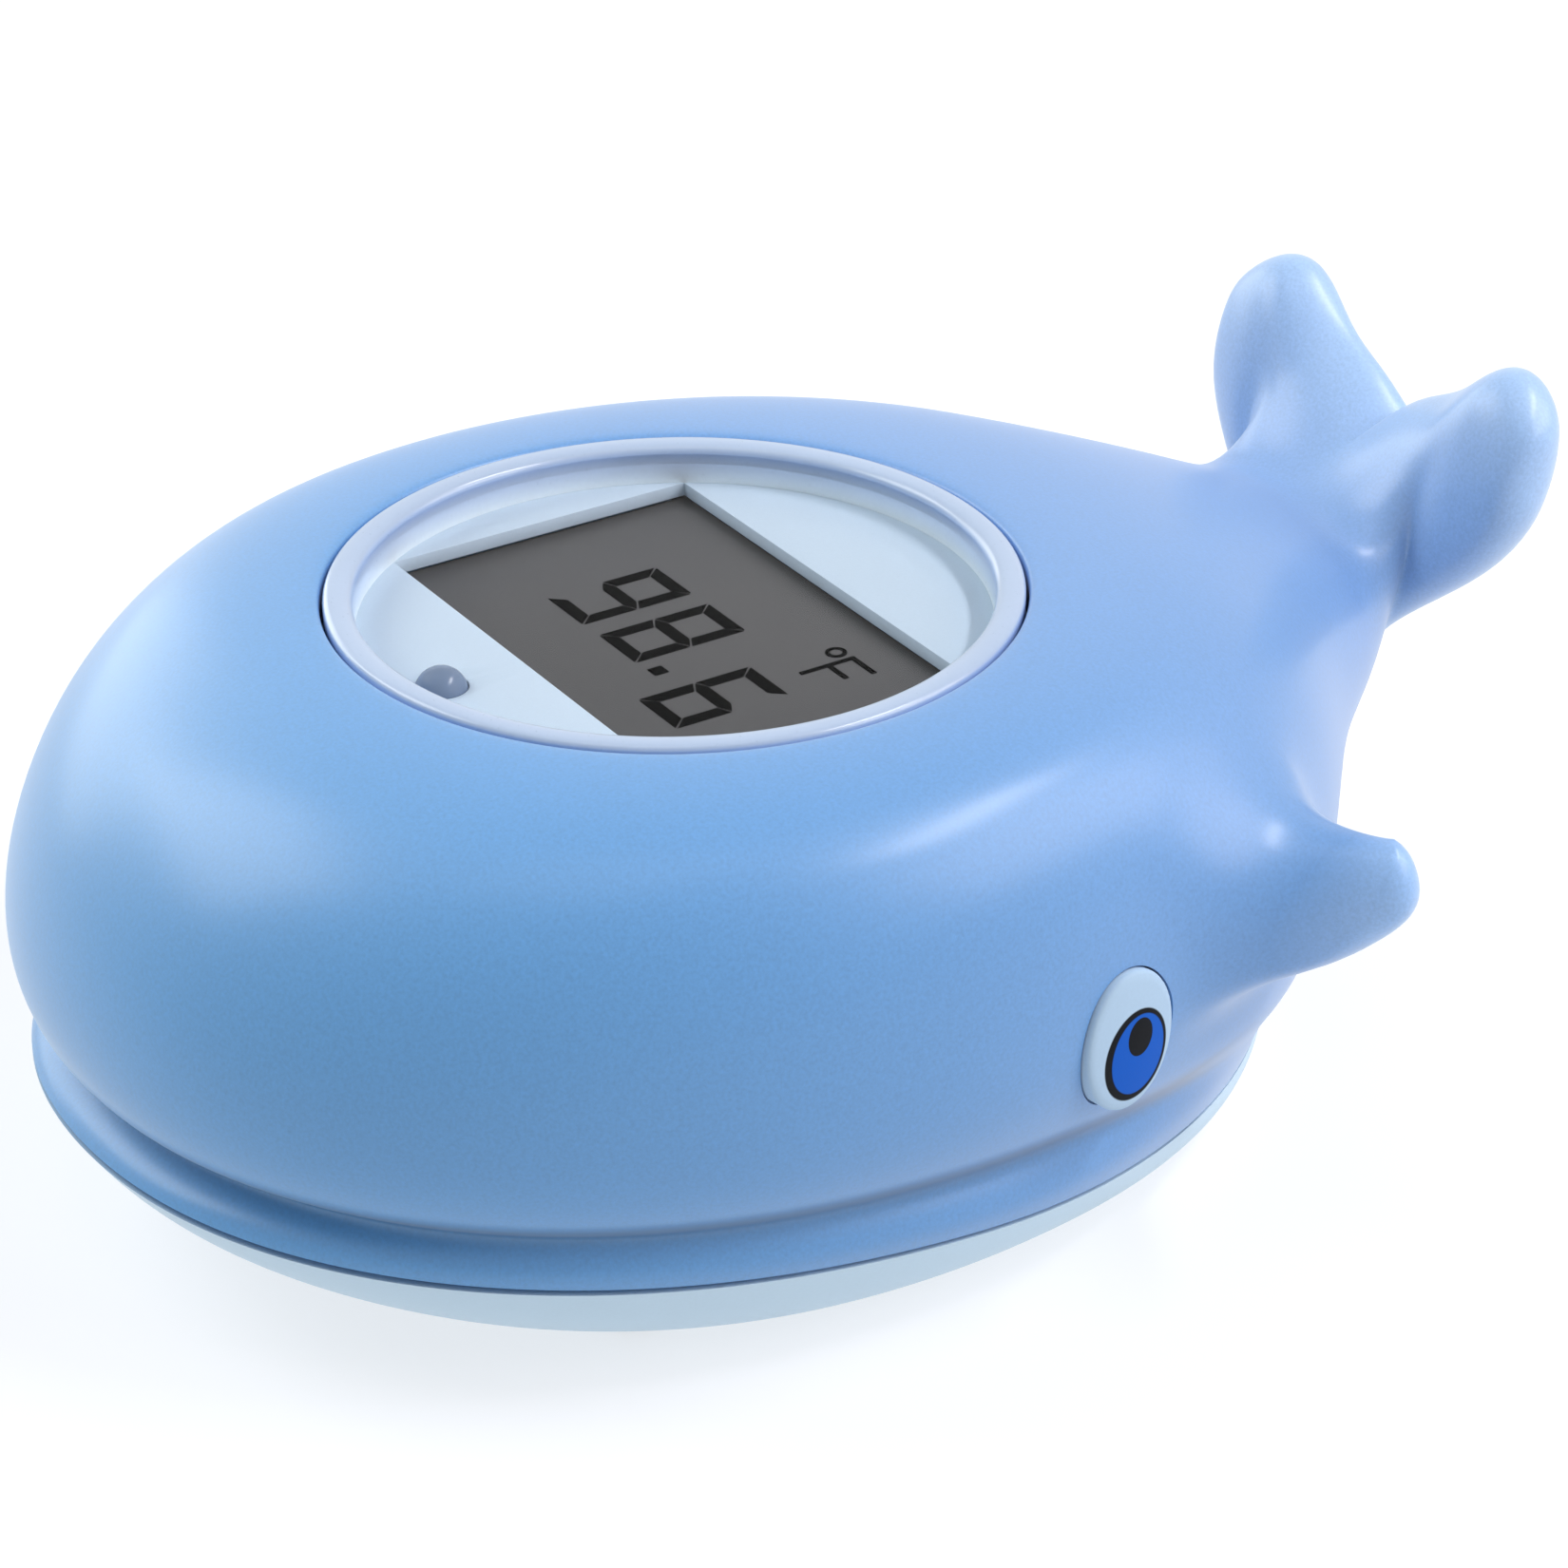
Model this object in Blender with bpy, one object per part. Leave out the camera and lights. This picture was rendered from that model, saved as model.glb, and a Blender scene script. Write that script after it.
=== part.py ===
# Floating baby bath thermometer shaped like a whale.
# Frame: origin in the middle of the flat base under the window, +Z up,
# -Y to the nose, +Y to the tail, +X to the whale's left side.
# Numbers are millimetres and become metres when a mesh is made.
import math

import bmesh
import bpy
from mathutils import Vector

for old in list(bpy.data.objects):
    bpy.data.objects.remove(old, do_unlink=True)

MM = 0.001

# Driving sizes
WINDOW_Z = 39.6          # lens top above the base
BODY_HALF_WIDTH = 40.3   # at the widest level
BODY_FRONT = 47.9        # window axis to the nose
BODY_REAR = 48.5         # window axis to the root of the tail
SEAM_DROP = 32.2         # lens top down to the seam, on the window axis
SEAM_SLOPE = 0.485       # how much higher the seam is at the nose, as a share of its height
TILT_TOP = 23.9          # lens top down to the level where the tilt has faded out
FLOOR_T = 2.2            # belly floor, which stays level
WALL = 2.3               # shell wall
GAP = 0.3                # clearance between pieces that meet
COLUMNS = 32             # columns of the body cage
LENS_R = 24.0            # outer radius of the clear window
RIM = 2.0                # width of its raised rim
LENS_PLAY = 0.75         # clearance of the window in its pocket
LEDGE = 2.15             # ledge that carries the window
SHELF_DROP = 5.1         # lens top down to the ledge
BOARD_DROP = 4.5         # ledge down to the circuit board
LCD_SHAPE = 1.535        # display width over its height
LCD_MARGIN = 0.7         # display corner to the ledge
LED_R = 1.85             # alarm light
LED_MARGIN = 4.3         # its axis to the ledge
EYE_Y = 10.6
EYE_DROP = 19.9          # lens top down to the eye
EYE_SUNK = 1.0           # eye rim inside the widest line
EYE_HALF_W = 3.95
EYE_HALF_H = 5.15
CELL_R = 10.0            # coin cell
CELL_T = 3.2
DOOR_RIM = 8.5           # battery door edge outside the cell
DOOR_T = 1.6
POST_SUNK = 17.3         # case screw posts inside the widest line
SENSOR_R = 3.0           # steel cap of the water sensor
PIN_X = 9.5              # water pins beside it

# Sizes that follow
SEAM_Z = WINDOW_Z - SEAM_DROP
SEAM_TILT = SEAM_SLOPE * SEAM_Z / BODY_FRONT
SHELF_Z = WINDOW_Z - SHELF_DROP
BOARD_Z = SHELF_Z - BOARD_DROP
EYE_Z = WINDOW_Z - EYE_DROP
EYE_FACE = BODY_HALF_WIDTH - EYE_SUNK
LENS_IN_R = LENS_R - RIM
POCKET_R = LENS_R + LENS_PLAY
SHELF_R = POCKET_R - LEDGE
LCD_CORNER = SHELF_R - LCD_MARGIN
LCD_Y = 2 * LCD_CORNER / math.hypot(LCD_SHAPE, 1.0)
LCD_X = LCD_SHAPE * LCD_Y
LED_Y = LED_MARGIN - SHELF_R
BOARD_X = SHELF_R + 3.2  # board screws
BOARD_HALF_Y = LCD_Y / 2 + 1.65
POST_X = BODY_HALF_WIDTH - POST_SUNK
POST_Y = BOARD_HALF_Y + 4.4
DOOR_R = CELL_R + DOOR_RIM
DOOR_SCREW_Y = DOOR_R - 3.3
SENSOR_Y = -(DOOR_R + SENSOR_R + 3.0)
PIN_Y = SENSOR_Y + 1.6
CELL_Z = DOOR_T + 0.5
CELL_TOP = CELL_Z + CELL_T
ROOM_TOP = CELL_TOP + 3.7


# Materials
def material(name, color, rough=0.4, metal=0.0, clear=0.0):
    mat = bpy.data.materials.new(name)
    mat.use_nodes = True
    bsdf = mat.node_tree.nodes["Principled BSDF"]
    bsdf.inputs["Base Color"].default_value = (*color, 1.0)
    bsdf.inputs["Roughness"].default_value = rough
    bsdf.inputs["Metallic"].default_value = metal
    bsdf.inputs["Transmission Weight"].default_value = clear
    return mat


# Mesh helpers
def new_object(name, verts, faces, mat, creases=None):
    mesh = bpy.data.meshes.new(name)
    mesh.from_pydata([(x * MM, y * MM, z * MM) for x, y, z in verts], [], faces)
    mesh.update()
    bm = bmesh.new()
    bm.from_mesh(mesh)
    if creases:
        layer = bm.edges.layers.float.new("crease_edge")
        bm.verts.ensure_lookup_table()
        for a, b in creases:
            edge = bm.edges.get((bm.verts[a], bm.verts[b]))
            if edge:
                edge[layer] = 1.0
    bmesh.ops.recalc_face_normals(bm, faces=bm.faces)
    bm.to_mesh(mesh)
    bm.free()
    obj = bpy.data.objects.new(name, mesh)
    bpy.context.scene.collection.objects.link(obj)
    mesh.materials.append(mat)
    return obj


def bake(obj):
    # Replaces the mesh by the result of its modifiers.
    graph = bpy.context.evaluated_depsgraph_get()
    mesh = bpy.data.meshes.new_from_object(obj.evaluated_get(graph))
    obj.modifiers.clear()
    obj.data = mesh
    return obj


def smooth(obj, levels):
    mod = obj.modifiers.new("round", "SUBSURF")
    mod.levels = levels
    mod.render_levels = levels
    return bake(obj)


def combine(obj, tool, operation):
    mod = obj.modifiers.new("join", "BOOLEAN")
    mod.operation = operation
    mod.solver = "EXACT"
    mod.object = tool
    bake(obj)
    bpy.data.objects.remove(tool, do_unlink=True)
    return obj


def lathe(name, profile, mat, segments=32, at=(0, 0, 0), closed=True):
    # Turns a closed (radius, height) outline about a vertical axis.
    verts, faces, rows = [], [], []
    for r, z in profile:
        if r < 1e-6:
            rows.append([len(verts)])
            verts.append((at[0], at[1], at[2] + z))
            continue
        row = []
        for i in range(segments):
            t = 2 * math.pi * i / segments
            row.append(len(verts))
            verts.append((at[0] + r * math.cos(t), at[1] + r * math.sin(t), at[2] + z))
        rows.append(row)
    count = len(rows) if closed else len(rows) - 1
    for k in range(count):
        a, b = rows[k], rows[(k + 1) % len(rows)]
        if len(a) == 1 and len(b) == 1:
            continue
        for i in range(segments):
            j = (i + 1) % segments
            if len(a) == 1:
                faces.append((a[0], b[j], b[i]))
            elif len(b) == 1:
                faces.append((a[i], a[j], b[0]))
            else:
                faces.append((a[i], a[j], b[j], b[i]))
    return new_object(name, verts, faces, mat)


def prism(name, outline, z0, z1, mat):
    n = len(outline)
    verts = [(x, y, z0) for x, y in outline] + [(x, y, z1) for x, y in outline]
    faces = [tuple(range(n - 1, -1, -1)), tuple(range(n, 2 * n))]
    for i in range(n):
        j = (i + 1) % n
        faces.append((i, j, n + j, n + i))
    return new_object(name, verts, faces, mat)


def rounded(half_x, half_y, r, cx=0.0, cy=0.0, steps=3):
    points = []
    for sx, sy, start in ((1, 1, 0), (-1, 1, 90), (-1, -1, 180), (1, -1, 270)):
        for i in range(steps + 1):
            t = math.radians(start + 90 * i / steps)
            x = cx + sx * (half_x - r) + r * math.cos(t)
            y = cy + sy * (half_y - r) + r * math.sin(t)
            points.append((x, y))
    return points


def disc(r, segments=24, cx=0.0, cy=0.0):
    turn = [2 * math.pi * i / segments for i in range(segments)]
    return [(cx + r * math.cos(t), cy + r * math.sin(t)) for t in turn]


def tube(name, path, r, mat, sides=8):
    # Sweeps a round section along a polyline.
    pts = [Vector(p) for p in path]
    verts, faces = [], []
    side = None
    for i, p in enumerate(pts):
        a = pts[max(i - 1, 0)]
        b = pts[min(i + 1, len(pts) - 1)]
        along = (b - a).normalized()
        if side is None:
            side = along.cross(Vector((0.31, 0.17, 0.94))).normalized()
        side = (side - along * side.dot(along)).normalized()
        other = along.cross(side)
        for k in range(sides):
            t = 2 * math.pi * k / sides
            verts.append(tuple(p + (side * math.cos(t) + other * math.sin(t)) * r))
    for i in range(len(pts) - 1):
        for k in range(sides):
            m = (k + 1) % sides
            faces.append((i * sides + k, i * sides + m, (i + 1) * sides + m, (i + 1) * sides + k))
    faces.append(tuple(range(sides - 1, -1, -1)))
    last = (len(pts) - 1) * sides
    faces.append(tuple(range(last, last + sides)))
    return new_object(name, verts, faces, mat)


def curve(points, steps=3):
    # Passes a smooth line through a few stations.
    pts = [Vector(p) for p in points]
    pts = [pts[0] * 2 - pts[1]] + pts + [pts[-1] * 2 - pts[-2]]
    out = []
    for i in range(1, len(pts) - 2):
        a, b, c, d = pts[i - 1], pts[i], pts[i + 1], pts[i + 2]
        for k in range(steps):
            t = k / steps
            out.append(0.5 * (2 * b + (c - a) * t + (2 * a - 5 * b + 4 * c - d) * t * t
                              + (3 * b - a - 3 * c + d) * t * t * t))
    out.append(pts[-2])
    return [tuple(p) for p in out]


# Body outline: the mouth, lip and seam levels rise towards the nose
REAR = ((1.0, 0.0), (0.985, 0.171), (0.945, 0.336), (0.878, 0.491), (0.786, 0.633),
        (0.662, 0.763), (0.498, 0.887), (0.261, 0.969), (0.0, 1.0))
HALF = COLUMNS // 2
SIDE = COLUMNS // 4


def tilt_share(z):
    # Full tilt at the seam, none above the cheeks or at the belly floor.
    if z > -SEAM_DROP:
        return min(max((-TILT_TOP - z) / (SEAM_DROP - TILT_TOP), 0.0), 1.0)
    return min(max((z + WINDOW_Z - FLOOR_T) / (SEAM_Z - FLOOR_T), 0.0), 1.0)


def ring_point(ring, column):
    # One vertex of a level: an egg in plan, round near the window.
    egg, a_front, a_rear, front, rear, z_front, z_side, z_rear = ring
    j = column if column <= HALF else COLUMNS - column
    sign = 1 if column <= HALF else -1
    fade = min(max((j - SIDE - 1) / 3.0, 0.0), 1.0)
    a = a_front + (a_rear - a_front) * fade
    angle = math.pi * j / HALF
    if j <= SIDE:
        s = math.sin(angle) ** (2 / 2.12)
        c = max(math.cos(angle), 0.0) ** (2 / 2.12)
        x, y = a * s, -front * c
        z = z_side + (z_front - z_side) * math.cos(angle) ** 2
    else:
        px, py = REAR[j - SIDE]
        x, y = a * px, rear * py
        z = z_side + (z_rear - z_side) * math.sin(angle - math.pi / 2) ** 2
    x = egg * x + (1 - egg) * a * math.sin(angle)
    y = egg * y - (1 - egg) * (front if j <= SIDE else rear) * math.cos(angle)
    return (sign * x, y, WINDOW_Z + z - SEAM_TILT * y * tilt_share(z_side))


def circle_ring(r, z):
    r = r / (1 - (1 - math.cos(2 * math.pi / COLUMNS)) / 3)
    return (0.0, r, r, r, r, z, z, z)


# Columns: egg share, half width front and rear, front, rear, then three heights.
A, F, R = BODY_HALF_WIDTH, BODY_FRONT, BODY_REAR
LIP = -SEAM_DROP
SHELF = -SHELF_DROP
HOLE = circle_ring(POCKET_R, -0.85)
OUTER = (
    HOLE,
    circle_ring(POCKET_R + 1.25, -0.55),
    (0.45, A - 9.8, A - 9.8, F - 17.2, R - 17.2, -0.8, -0.7, -0.6),
    (1.0, A - 4.9, A - 4.8, F - 10.2, R - 9.2, -2.9, -2.3, -1.7),
    (1.0, A - 1.3, A - 1.2, F - 3.9, R - 2.6, -8.4, -7.8, -6.4),
    (1.0, A, A + 0.3, F - 0.3, R + 0.2, -15.6, -15.0, -14.6),
    (1.0, A + 0.1, A + 0.2, F + 0.2, R + 0.2, LIP + 11.1, LIP + 11.5, LIP + 10.5),
    (1.0, A - 1.0, A - 0.2, F - 0.9, R - 0.4, LIP + 7.5, LIP + 7.6, LIP + 6.9),
    (1.0, A - 2.1, A - 0.8, F - 2.3, R - 1.0, LIP + 5.5, LIP + 5.6, LIP + 4.9),
    (1.0, A - 3.6, A - 1.7, F - 3.9, R - 2.2, LIP + 4.2, LIP + 4.2, LIP + 3.6),
    (1.0, A - 2.8, A - 2.6, F - 3.1, R - 3.2, LIP + 3.1, LIP + 3.1, LIP + 2.6),
    (1.0, A - 2.1, A - 3.1, F - 1.3, R - 4.1, LIP + 1.6, LIP + 1.6, LIP + 1.3),
    (1.0, A - 2.7, A - 3.5, F - 0.7, R - 5.1, LIP, LIP, LIP),
)
W = WALL
INNER = (
    (1.0, A - W - 3.0, A - W - 3.7, F - W - 2.4, R - W - 5.4, LIP, LIP, LIP),
    (1.0, A - W - 3.9, A - W - 3.5, F - W - 4.1, R - W - 5.5, LIP + 4.0, LIP + 4.3, LIP + 4.1),
    (1.0, A - W - 1.3, A - W - 1.3, F - W - 1.3, R - W - 5.4, LIP + 8.5, LIP + 8.7, LIP + 7.9),
    (1.0, A - W - 0.2, A - W - 0.7, F - W - 0.3, R - W - 5.6, -18.6, -18.4, -18.6),
    (1.0, A - W - 1.6, A - W - 1.9, F - W - 3.5, R - W - 7.3, -11.3, -11.0, -11.0),
    (1.0, A - W - 5.1, A - W - 5.5, F - W - 10.1, R - W - 12.3, -4.6 - W, -4.3 - W, -4.1 - W),
    circle_ring(SHELF_R, SHELF + 0.2 - W),
    circle_ring(SHELF_R, SHELF),
    circle_ring(POCKET_R, SHELF),
)
SEAM_RING = len(OUTER) - 1
LEDGE_RING = len(INNER) - 3
STOCK_COLS = (HALF - 2, HALF - 1, HALF, HALF + 1, HALF + 2)
FIN_COLS = (SIDE + 2, SIDE + 3, SIDE + 4)
FIN_ROOT = Vector((A - 4.2, R - 23.3, -14.6))


def fluke_loop(x, top, bottom, lean, half, sign):
    # Eight vertices round one station of a fluke: front then back column.
    rows = [top, top - (top - bottom) * 0.33, top - (top - bottom) * 0.67, bottom]
    swell = (0.62, 1.0, 1.0, 0.62)
    loop = []
    for face in (-1, 1):
        for z, s in zip(rows, swell):
            y = R + 12.7 + 0.22 * (z + 4) + lean + face * half * s
            loop.append((sign * x, y, WINDOW_Z + z))
    return loop


def body_cage():
    verts, faces, sharp = [], [], []
    rings = list(OUTER) + list(INNER)
    index = []
    for ring in rings:
        index.append([len(verts) + k for k in range(COLUMNS)])
        verts += [ring_point(ring, k) for k in range(COLUMNS)]
    mirrored = [COLUMNS - c for c in FIN_COLS][::-1]
    for r in range(len(rings)):
        s = (r + 1) % len(rings)
        for k in range(COLUMNS):
            m = (k + 1) % COLUMNS
            in_tail = 3 <= r <= 5 and STOCK_COLS[0] <= k < STOCK_COLS[-1]
            left = FIN_COLS[0] <= k < FIN_COLS[-1]
            right = mirrored[0] <= k < mirrored[-1]
            if in_tail or (4 <= r <= 5 and (left or right)):
                continue
            faces.append((index[r][k], index[r][m], index[s][m], index[s][k]))
    sharp_rows = [0, SEAM_RING, SEAM_RING + 1]
    sharp_rows += [len(OUTER) + LEDGE_RING + step for step in range(3)]
    for r in sharp_rows:
        for k in range(COLUMNS):
            sharp.append((index[r][k], index[r][(k + 1) % COLUMNS]))

    # Tail stock: a loop of fourteen vertices carried to the rear.
    def tail_loop(y, rows, tilt):
        # Rows: (half widths, heights) of the top, two sides and the bottom.
        out = []
        (w0, w1, z0, z1, z2), (s1, h1), (s2, h2), (b0, b1, g0, g1, g2) = rows
        top = [(-w0, z0), (-w1, z1), (0, z2), (w1, z1), (w0, z0)]
        low = [(b0, g0), (b1, g1), (0, g2), (-b1, g1), (-b0, g0)]
        line = top + [(s1, h1), (s2, h2)] + low + [(-s2, h2), (-s1, h1)]
        for x, z in line:
            out.append(len(verts))
            verts.append((x, y + tilt * (z + 14), WINDOW_Z + z))
        return out

    c = STOCK_COLS[::-1]
    first = [index[3][k] for k in c] + [index[4][c[-1]], index[5][c[-1]]]
    first += [index[6][k] for k in c[::-1]] + [index[5][c[0]], index[4][c[0]]]
    loops = [first]
    loops.append(tail_loop(R - 0.1, ((12.8, 7.2, -7.8, -5.4, -4.8), (15.4, -12.0), (15.2, -17.4),
                                  (12.0, 6.8, -22.4, -24.0, -24.5)), -0.05))
    loops.append(tail_loop(R + 4.9, ((9.0, 4.9, -9.0, -7.9, -7.4), (11.5, -12.2), (11.4, -17.0),
                                  (8.6, 4.6, -20.8, -21.9, -22.3)), 0.0))
    loops.append(tail_loop(R + 7.9, ((7.2, 3.6, -1.2, -4.4, -6.2), (8.8, -5.2), (9.2, -11.2),
                                  (7.6, 3.8, -17.0, -18.3, -18.8)), 0.15))
    loops.append(tail_loop(R + 13.7, ((6.8, 2.3, 2.6, 0.0, -1.6), (8.2, -4.0), (8.4, -9.8),
                                  (6.8, 3.4, -15.2, -16.4, -16.8)), 0.20))
    for n in range(3):
        a, b = loops[n], loops[n + 1]
        for i in range(14):
            j = (i + 1) % 14
            faces.append((a[i], a[j], b[j], b[i]))
    a, b = loops[3], loops[4]
    for i in (0, 1, 2, 3, 7, 8, 9, 10):
        faces.append((a[i], a[i + 1], b[i + 1], b[i]))

    # Back of the tail: a grid inside the last loop.
    grid = [[b[0], b[1], b[2], b[3], b[4]]]
    for row, z, w in ((1, -5.4, 4.2), (2, -10.6, 4.2)):
        line = [b[14 - row]]
        for x in (-w, 0, w):
            line.append(len(verts))
            verts.append((x, R + 14.9 + 0.20 * (z + 14), WINDOW_Z + z))
        line.append(b[4 + row])
        grid.append(line)
    grid.append([b[11], b[10], b[9], b[8], b[7]])
    for r in range(3):
        for k in range(4):
            faces.append((grid[r][k], grid[r][k + 1], grid[r + 1][k + 1], grid[r + 1][k]))

    # Flukes: the side faces of the last tail segment carried outwards.
    stations = ((11.6, 6.0, -12.7, 0.0, 4.1), (15.4, 4.7, -9.1, 0.1, 3.5), (17.7, 2.0, -4.6, -0.3, 2.2))
    for sign in (1, -1):
        rows = (4, 5, 6, 7) if sign == 1 else (0, 13, 12, 11)
        loop = [a[i] for i in rows] + [b[i] for i in rows]
        for station in stations:
            made = []
            for p in fluke_loop(*station, sign):
                made.append(len(verts))
                verts.append(p)
            order = (0, 1, 2, 3, 7, 6, 5, 4)
            for i in range(8):
                p, q = order[i], order[(i + 1) % 8]
                faces.append((loop[p], loop[q], made[q], made[p]))
            loop = made
        for i in range(3):
            faces.append((loop[i], loop[i + 1], loop[i + 5], loop[i + 4]))

    # Flippers: a block of four faces carried outwards, back and up.
    for sign, cols in ((1, FIN_COLS), (-1, [COLUMNS - k for k in FIN_COLS])):
        loop = [index[4][cols[0]], index[4][cols[1]], index[4][cols[2]], index[5][cols[2]],
                index[6][cols[2]], index[6][cols[1]], index[6][cols[0]], index[5][cols[0]]]
        out = Vector((0.84, 0.42, 0.34)).normalized()
        back = Vector((-0.42, 0.90, 0.0)).normalized()
        back = (back - out * back.dot(out)).normalized()
        up = out.cross(back) * -1
        up = up if up.z > 0 else up * -1
        corners = ((-1, 1), (0, 1), (1, 1), (1, 0), (1, -1), (0, -1), (-1, -1), (-1, 0))
        for reach, wide, high in ((1.2, 5.6, 6.2), (5.4, 4.2, 4.3), (9.4, 2.6, 2.8)):
            mid = FIN_ROOT + out * reach
            made = []
            for h, v in corners:
                k = 0.78 if h and v else 1.0
                p = mid + back * (h * wide * k) + up * (v * high * k)
                made.append(len(verts))
                verts.append((sign * p.x, p.y, WINDOW_Z + p.z))
            for i in range(8):
                j = (i + 1) % 8
                faces.append((loop[i], loop[j], made[j], made[i]))
            loop = made
        mid = FIN_ROOT + out * 10.4
        tip = len(verts)
        verts.append((sign * mid.x, mid.y, WINDOW_Z + mid.z))
        for i in (0, 2, 4, 6):
            faces.append((loop[i - 1], loop[i], loop[i + 1], tip))

    # The inside vertices of the removed blocks are dropped.
    used = sorted({i for f in faces for i in f})
    place = {v: i for i, v in enumerate(used)}
    verts = [verts[i] for i in used]
    faces = [tuple(place[i] for i in f) for f in faces]
    sharp = [(place[p], place[q]) for p, q in sharp]
    return verts, faces, sharp


SHELL_BLUE = material("shell_blue", (0.26, 0.47, 0.80), 0.42)
BELLY_PALE = material("belly_pale", (0.53, 0.68, 0.80), 0.45)
CLEAR = material("clear_window", (0.95, 0.98, 1.0), 0.08, clear=1.0)
PLATE_PALE = material("plate_pale", (0.60, 0.72, 0.82), 0.5)
SCREEN = material("lcd_grey", (0.12, 0.12, 0.12), 0.35)
RUBBER = material("seal_rubber", (0.05, 0.06, 0.07), 0.8)
BOARD = material("board_green", (0.03, 0.18, 0.08), 0.5)
BLACK = material("black_resin", (0.02, 0.02, 0.02), 0.4)
LED_GREY = material("led_grey", (0.25, 0.30, 0.36), 0.15, clear=0.5)
EYE_WHITE = material("eye_white", (0.72, 0.82, 0.90), 0.4)
STEEL = material("steel", (0.62, 0.63, 0.65), 0.3, 1.0)
CELL = material("cell_steel", (0.66, 0.66, 0.66), 0.25, 1.0)
WIRE_RED = material("wire_red", (0.55, 0.05, 0.04), 0.5)
WIRE_BLACK = material("wire_black", (0.03, 0.03, 0.03), 0.5)
PINK = material("zebra_pink", (0.60, 0.42, 0.45), 0.7)

# Upper shell: whale body with tail, flukes, flippers and the window pocket
verts, faces, sharp = body_cage()
shell = smooth(new_object("upper_shell", verts, faces, SHELL_BLUE, sharp), 1)


def eye_outline(grow, count=18):
    turn = [2 * math.pi * i / count for i in range(count)]
    return [((EYE_HALF_W + grow) * math.cos(t), (EYE_HALF_H + grow) * math.sin(t)) for t in turn]


EYE_NORMAL = Vector((0.985, 0.172, 0.0)).normalized()


def eye_solid(name, levels, sign, mat, grow=0.0):
    # Stacks oval sections along the eye's own normal: (depth, share, grow).
    along = Vector((-EYE_NORMAL.y, EYE_NORMAL.x, 0.0))
    centre = Vector((EYE_FACE, EYE_Y, EYE_Z))
    vs, fs = [], []
    n = 20
    for depth, share in levels:
        for u, v in eye_outline(grow, n):
            p = centre + along * (u * share) + Vector((0, 0, v * share)) + EYE_NORMAL * depth
            vs.append((sign * p.x, p.y, p.z))
    for r in range(len(levels) - 1):
        for i in range(n):
            j = (i + 1) % n
            fs.append((r * n + i, r * n + j, (r + 1) * n + j, (r + 1) * n + i))
    fs.append(tuple(range(n)))
    fs.append(tuple(range((len(levels) - 1) * n, len(levels) * n)))
    return new_object(name, vs, fs, mat)


for sign in (1, -1):
    combine(shell, eye_solid("socket", ((-1.55, 1.0), (4.0, 1.0)), sign, SHELL_BLUE, 0.25), "DIFFERENCE")

# Posts for the case screws and the board screws
for sx in (1, -1):
    for sy in (1, -1):
        post = prism("post", disc(3.0, 12, sx * POST_X, sy * POST_Y), SEAM_Z + 2.6, SHELF_Z - 0.6, SHELL_BLUE)
        combine(shell, post, "UNION")
        pilot = prism("pilot", disc(1.15, 8, sx * POST_X, sy * POST_Y), SEAM_Z + 1.0, SEAM_Z + 12.5, SHELL_BLUE)
        combine(shell, pilot, "DIFFERENCE")
for sx in (1, -1):
    post = prism("post", disc(2.3, 12, sx * BOARD_X, 0), BOARD_Z + 1.5, SHELF_Z - 0.8, SHELL_BLUE)
    combine(shell, post, "UNION")
    pilot = prism("pilot", disc(0.85, 8, sx * BOARD_X, 0), BOARD_Z + 0.5, BOARD_Z + 3.4, SHELL_BLUE)
    combine(shell, pilot, "DIFFERENCE")

# Belly: shallow bowl under the seam with the cell cup and screw sleeves
S = LIP - GAP
DEEP = SEAM_Z
BASE = -WINDOW_Z
BELLY_OUT = (
    (1.0, A - 2.7, A - 3.5, F - 0.7, R - 5.1, S, S, S),
    (1.0, A - 3.3, A - 3.5, F - 3.0, R - 4.9, LIP - DEEP * 0.32, LIP - DEEP * 0.32, LIP - DEEP * 0.32),
    (1.0, A - 5.6, A - 4.1, F - 10.4, R - 6.6, LIP - DEEP * 0.7, LIP - DEEP * 0.7, LIP - DEEP * 0.7),
    (1.0, A - 10.4, A - 8.8, F - 16.4, R - 12.0, LIP - DEEP * 0.97, LIP - DEEP * 0.97, LIP - DEEP * 0.97),
    (1.0, A - 13.4, A - 13.2, F - 19.0, R - 17.6, BASE, BASE, BASE),
)
BELLY_IN = (
    (1.0, A - 12.6, A - 12.6, F - 17.6, R - 17.0, BASE + FLOOR_T, BASE + FLOOR_T, BASE + FLOOR_T),
    (1.0, A - 7.4, A - 7.4, F - 11.0, R - 10.8, LIP - DEEP * 0.41, LIP - DEEP * 0.41, LIP - DEEP * 0.41),
    (1.0, A - W - 3.0, A - W - 3.7, F - W - 2.4, R - W - 5.4, S, S, S),
)


def belly_cage():
    verts, faces, sharp, index = [], [], [], []
    for ring in BELLY_OUT + BELLY_IN:
        index.append([len(verts) + k for k in range(COLUMNS)])
        verts += [ring_point(ring, k) for k in range(COLUMNS)]
    last = len(BELLY_OUT) - 1
    for r in range(len(index)):
        if r == last:
            continue
        s = (r + 1) % len(index)
        for k in range(COLUMNS):
            m = (k + 1) % COLUMNS
            faces.append((index[r][k], index[r][m], index[s][m], index[s][k]))
    for row, z in ((last, 0.0), (last + 1, FLOOR_T)):
        centre = len(verts)
        verts.append((0.0, 0.0, z))
        for k in range(0, COLUMNS, 2):
            m, n = k + 1, (k + 2) % COLUMNS
            faces.append((centre, index[row][k], index[row][m], index[row][n]))
    for r in (0, len(index) - 1):
        for k in range(COLUMNS):
            sharp.append((index[r][k], index[r][(k + 1) % COLUMNS]))
    return verts, faces, sharp


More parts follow.
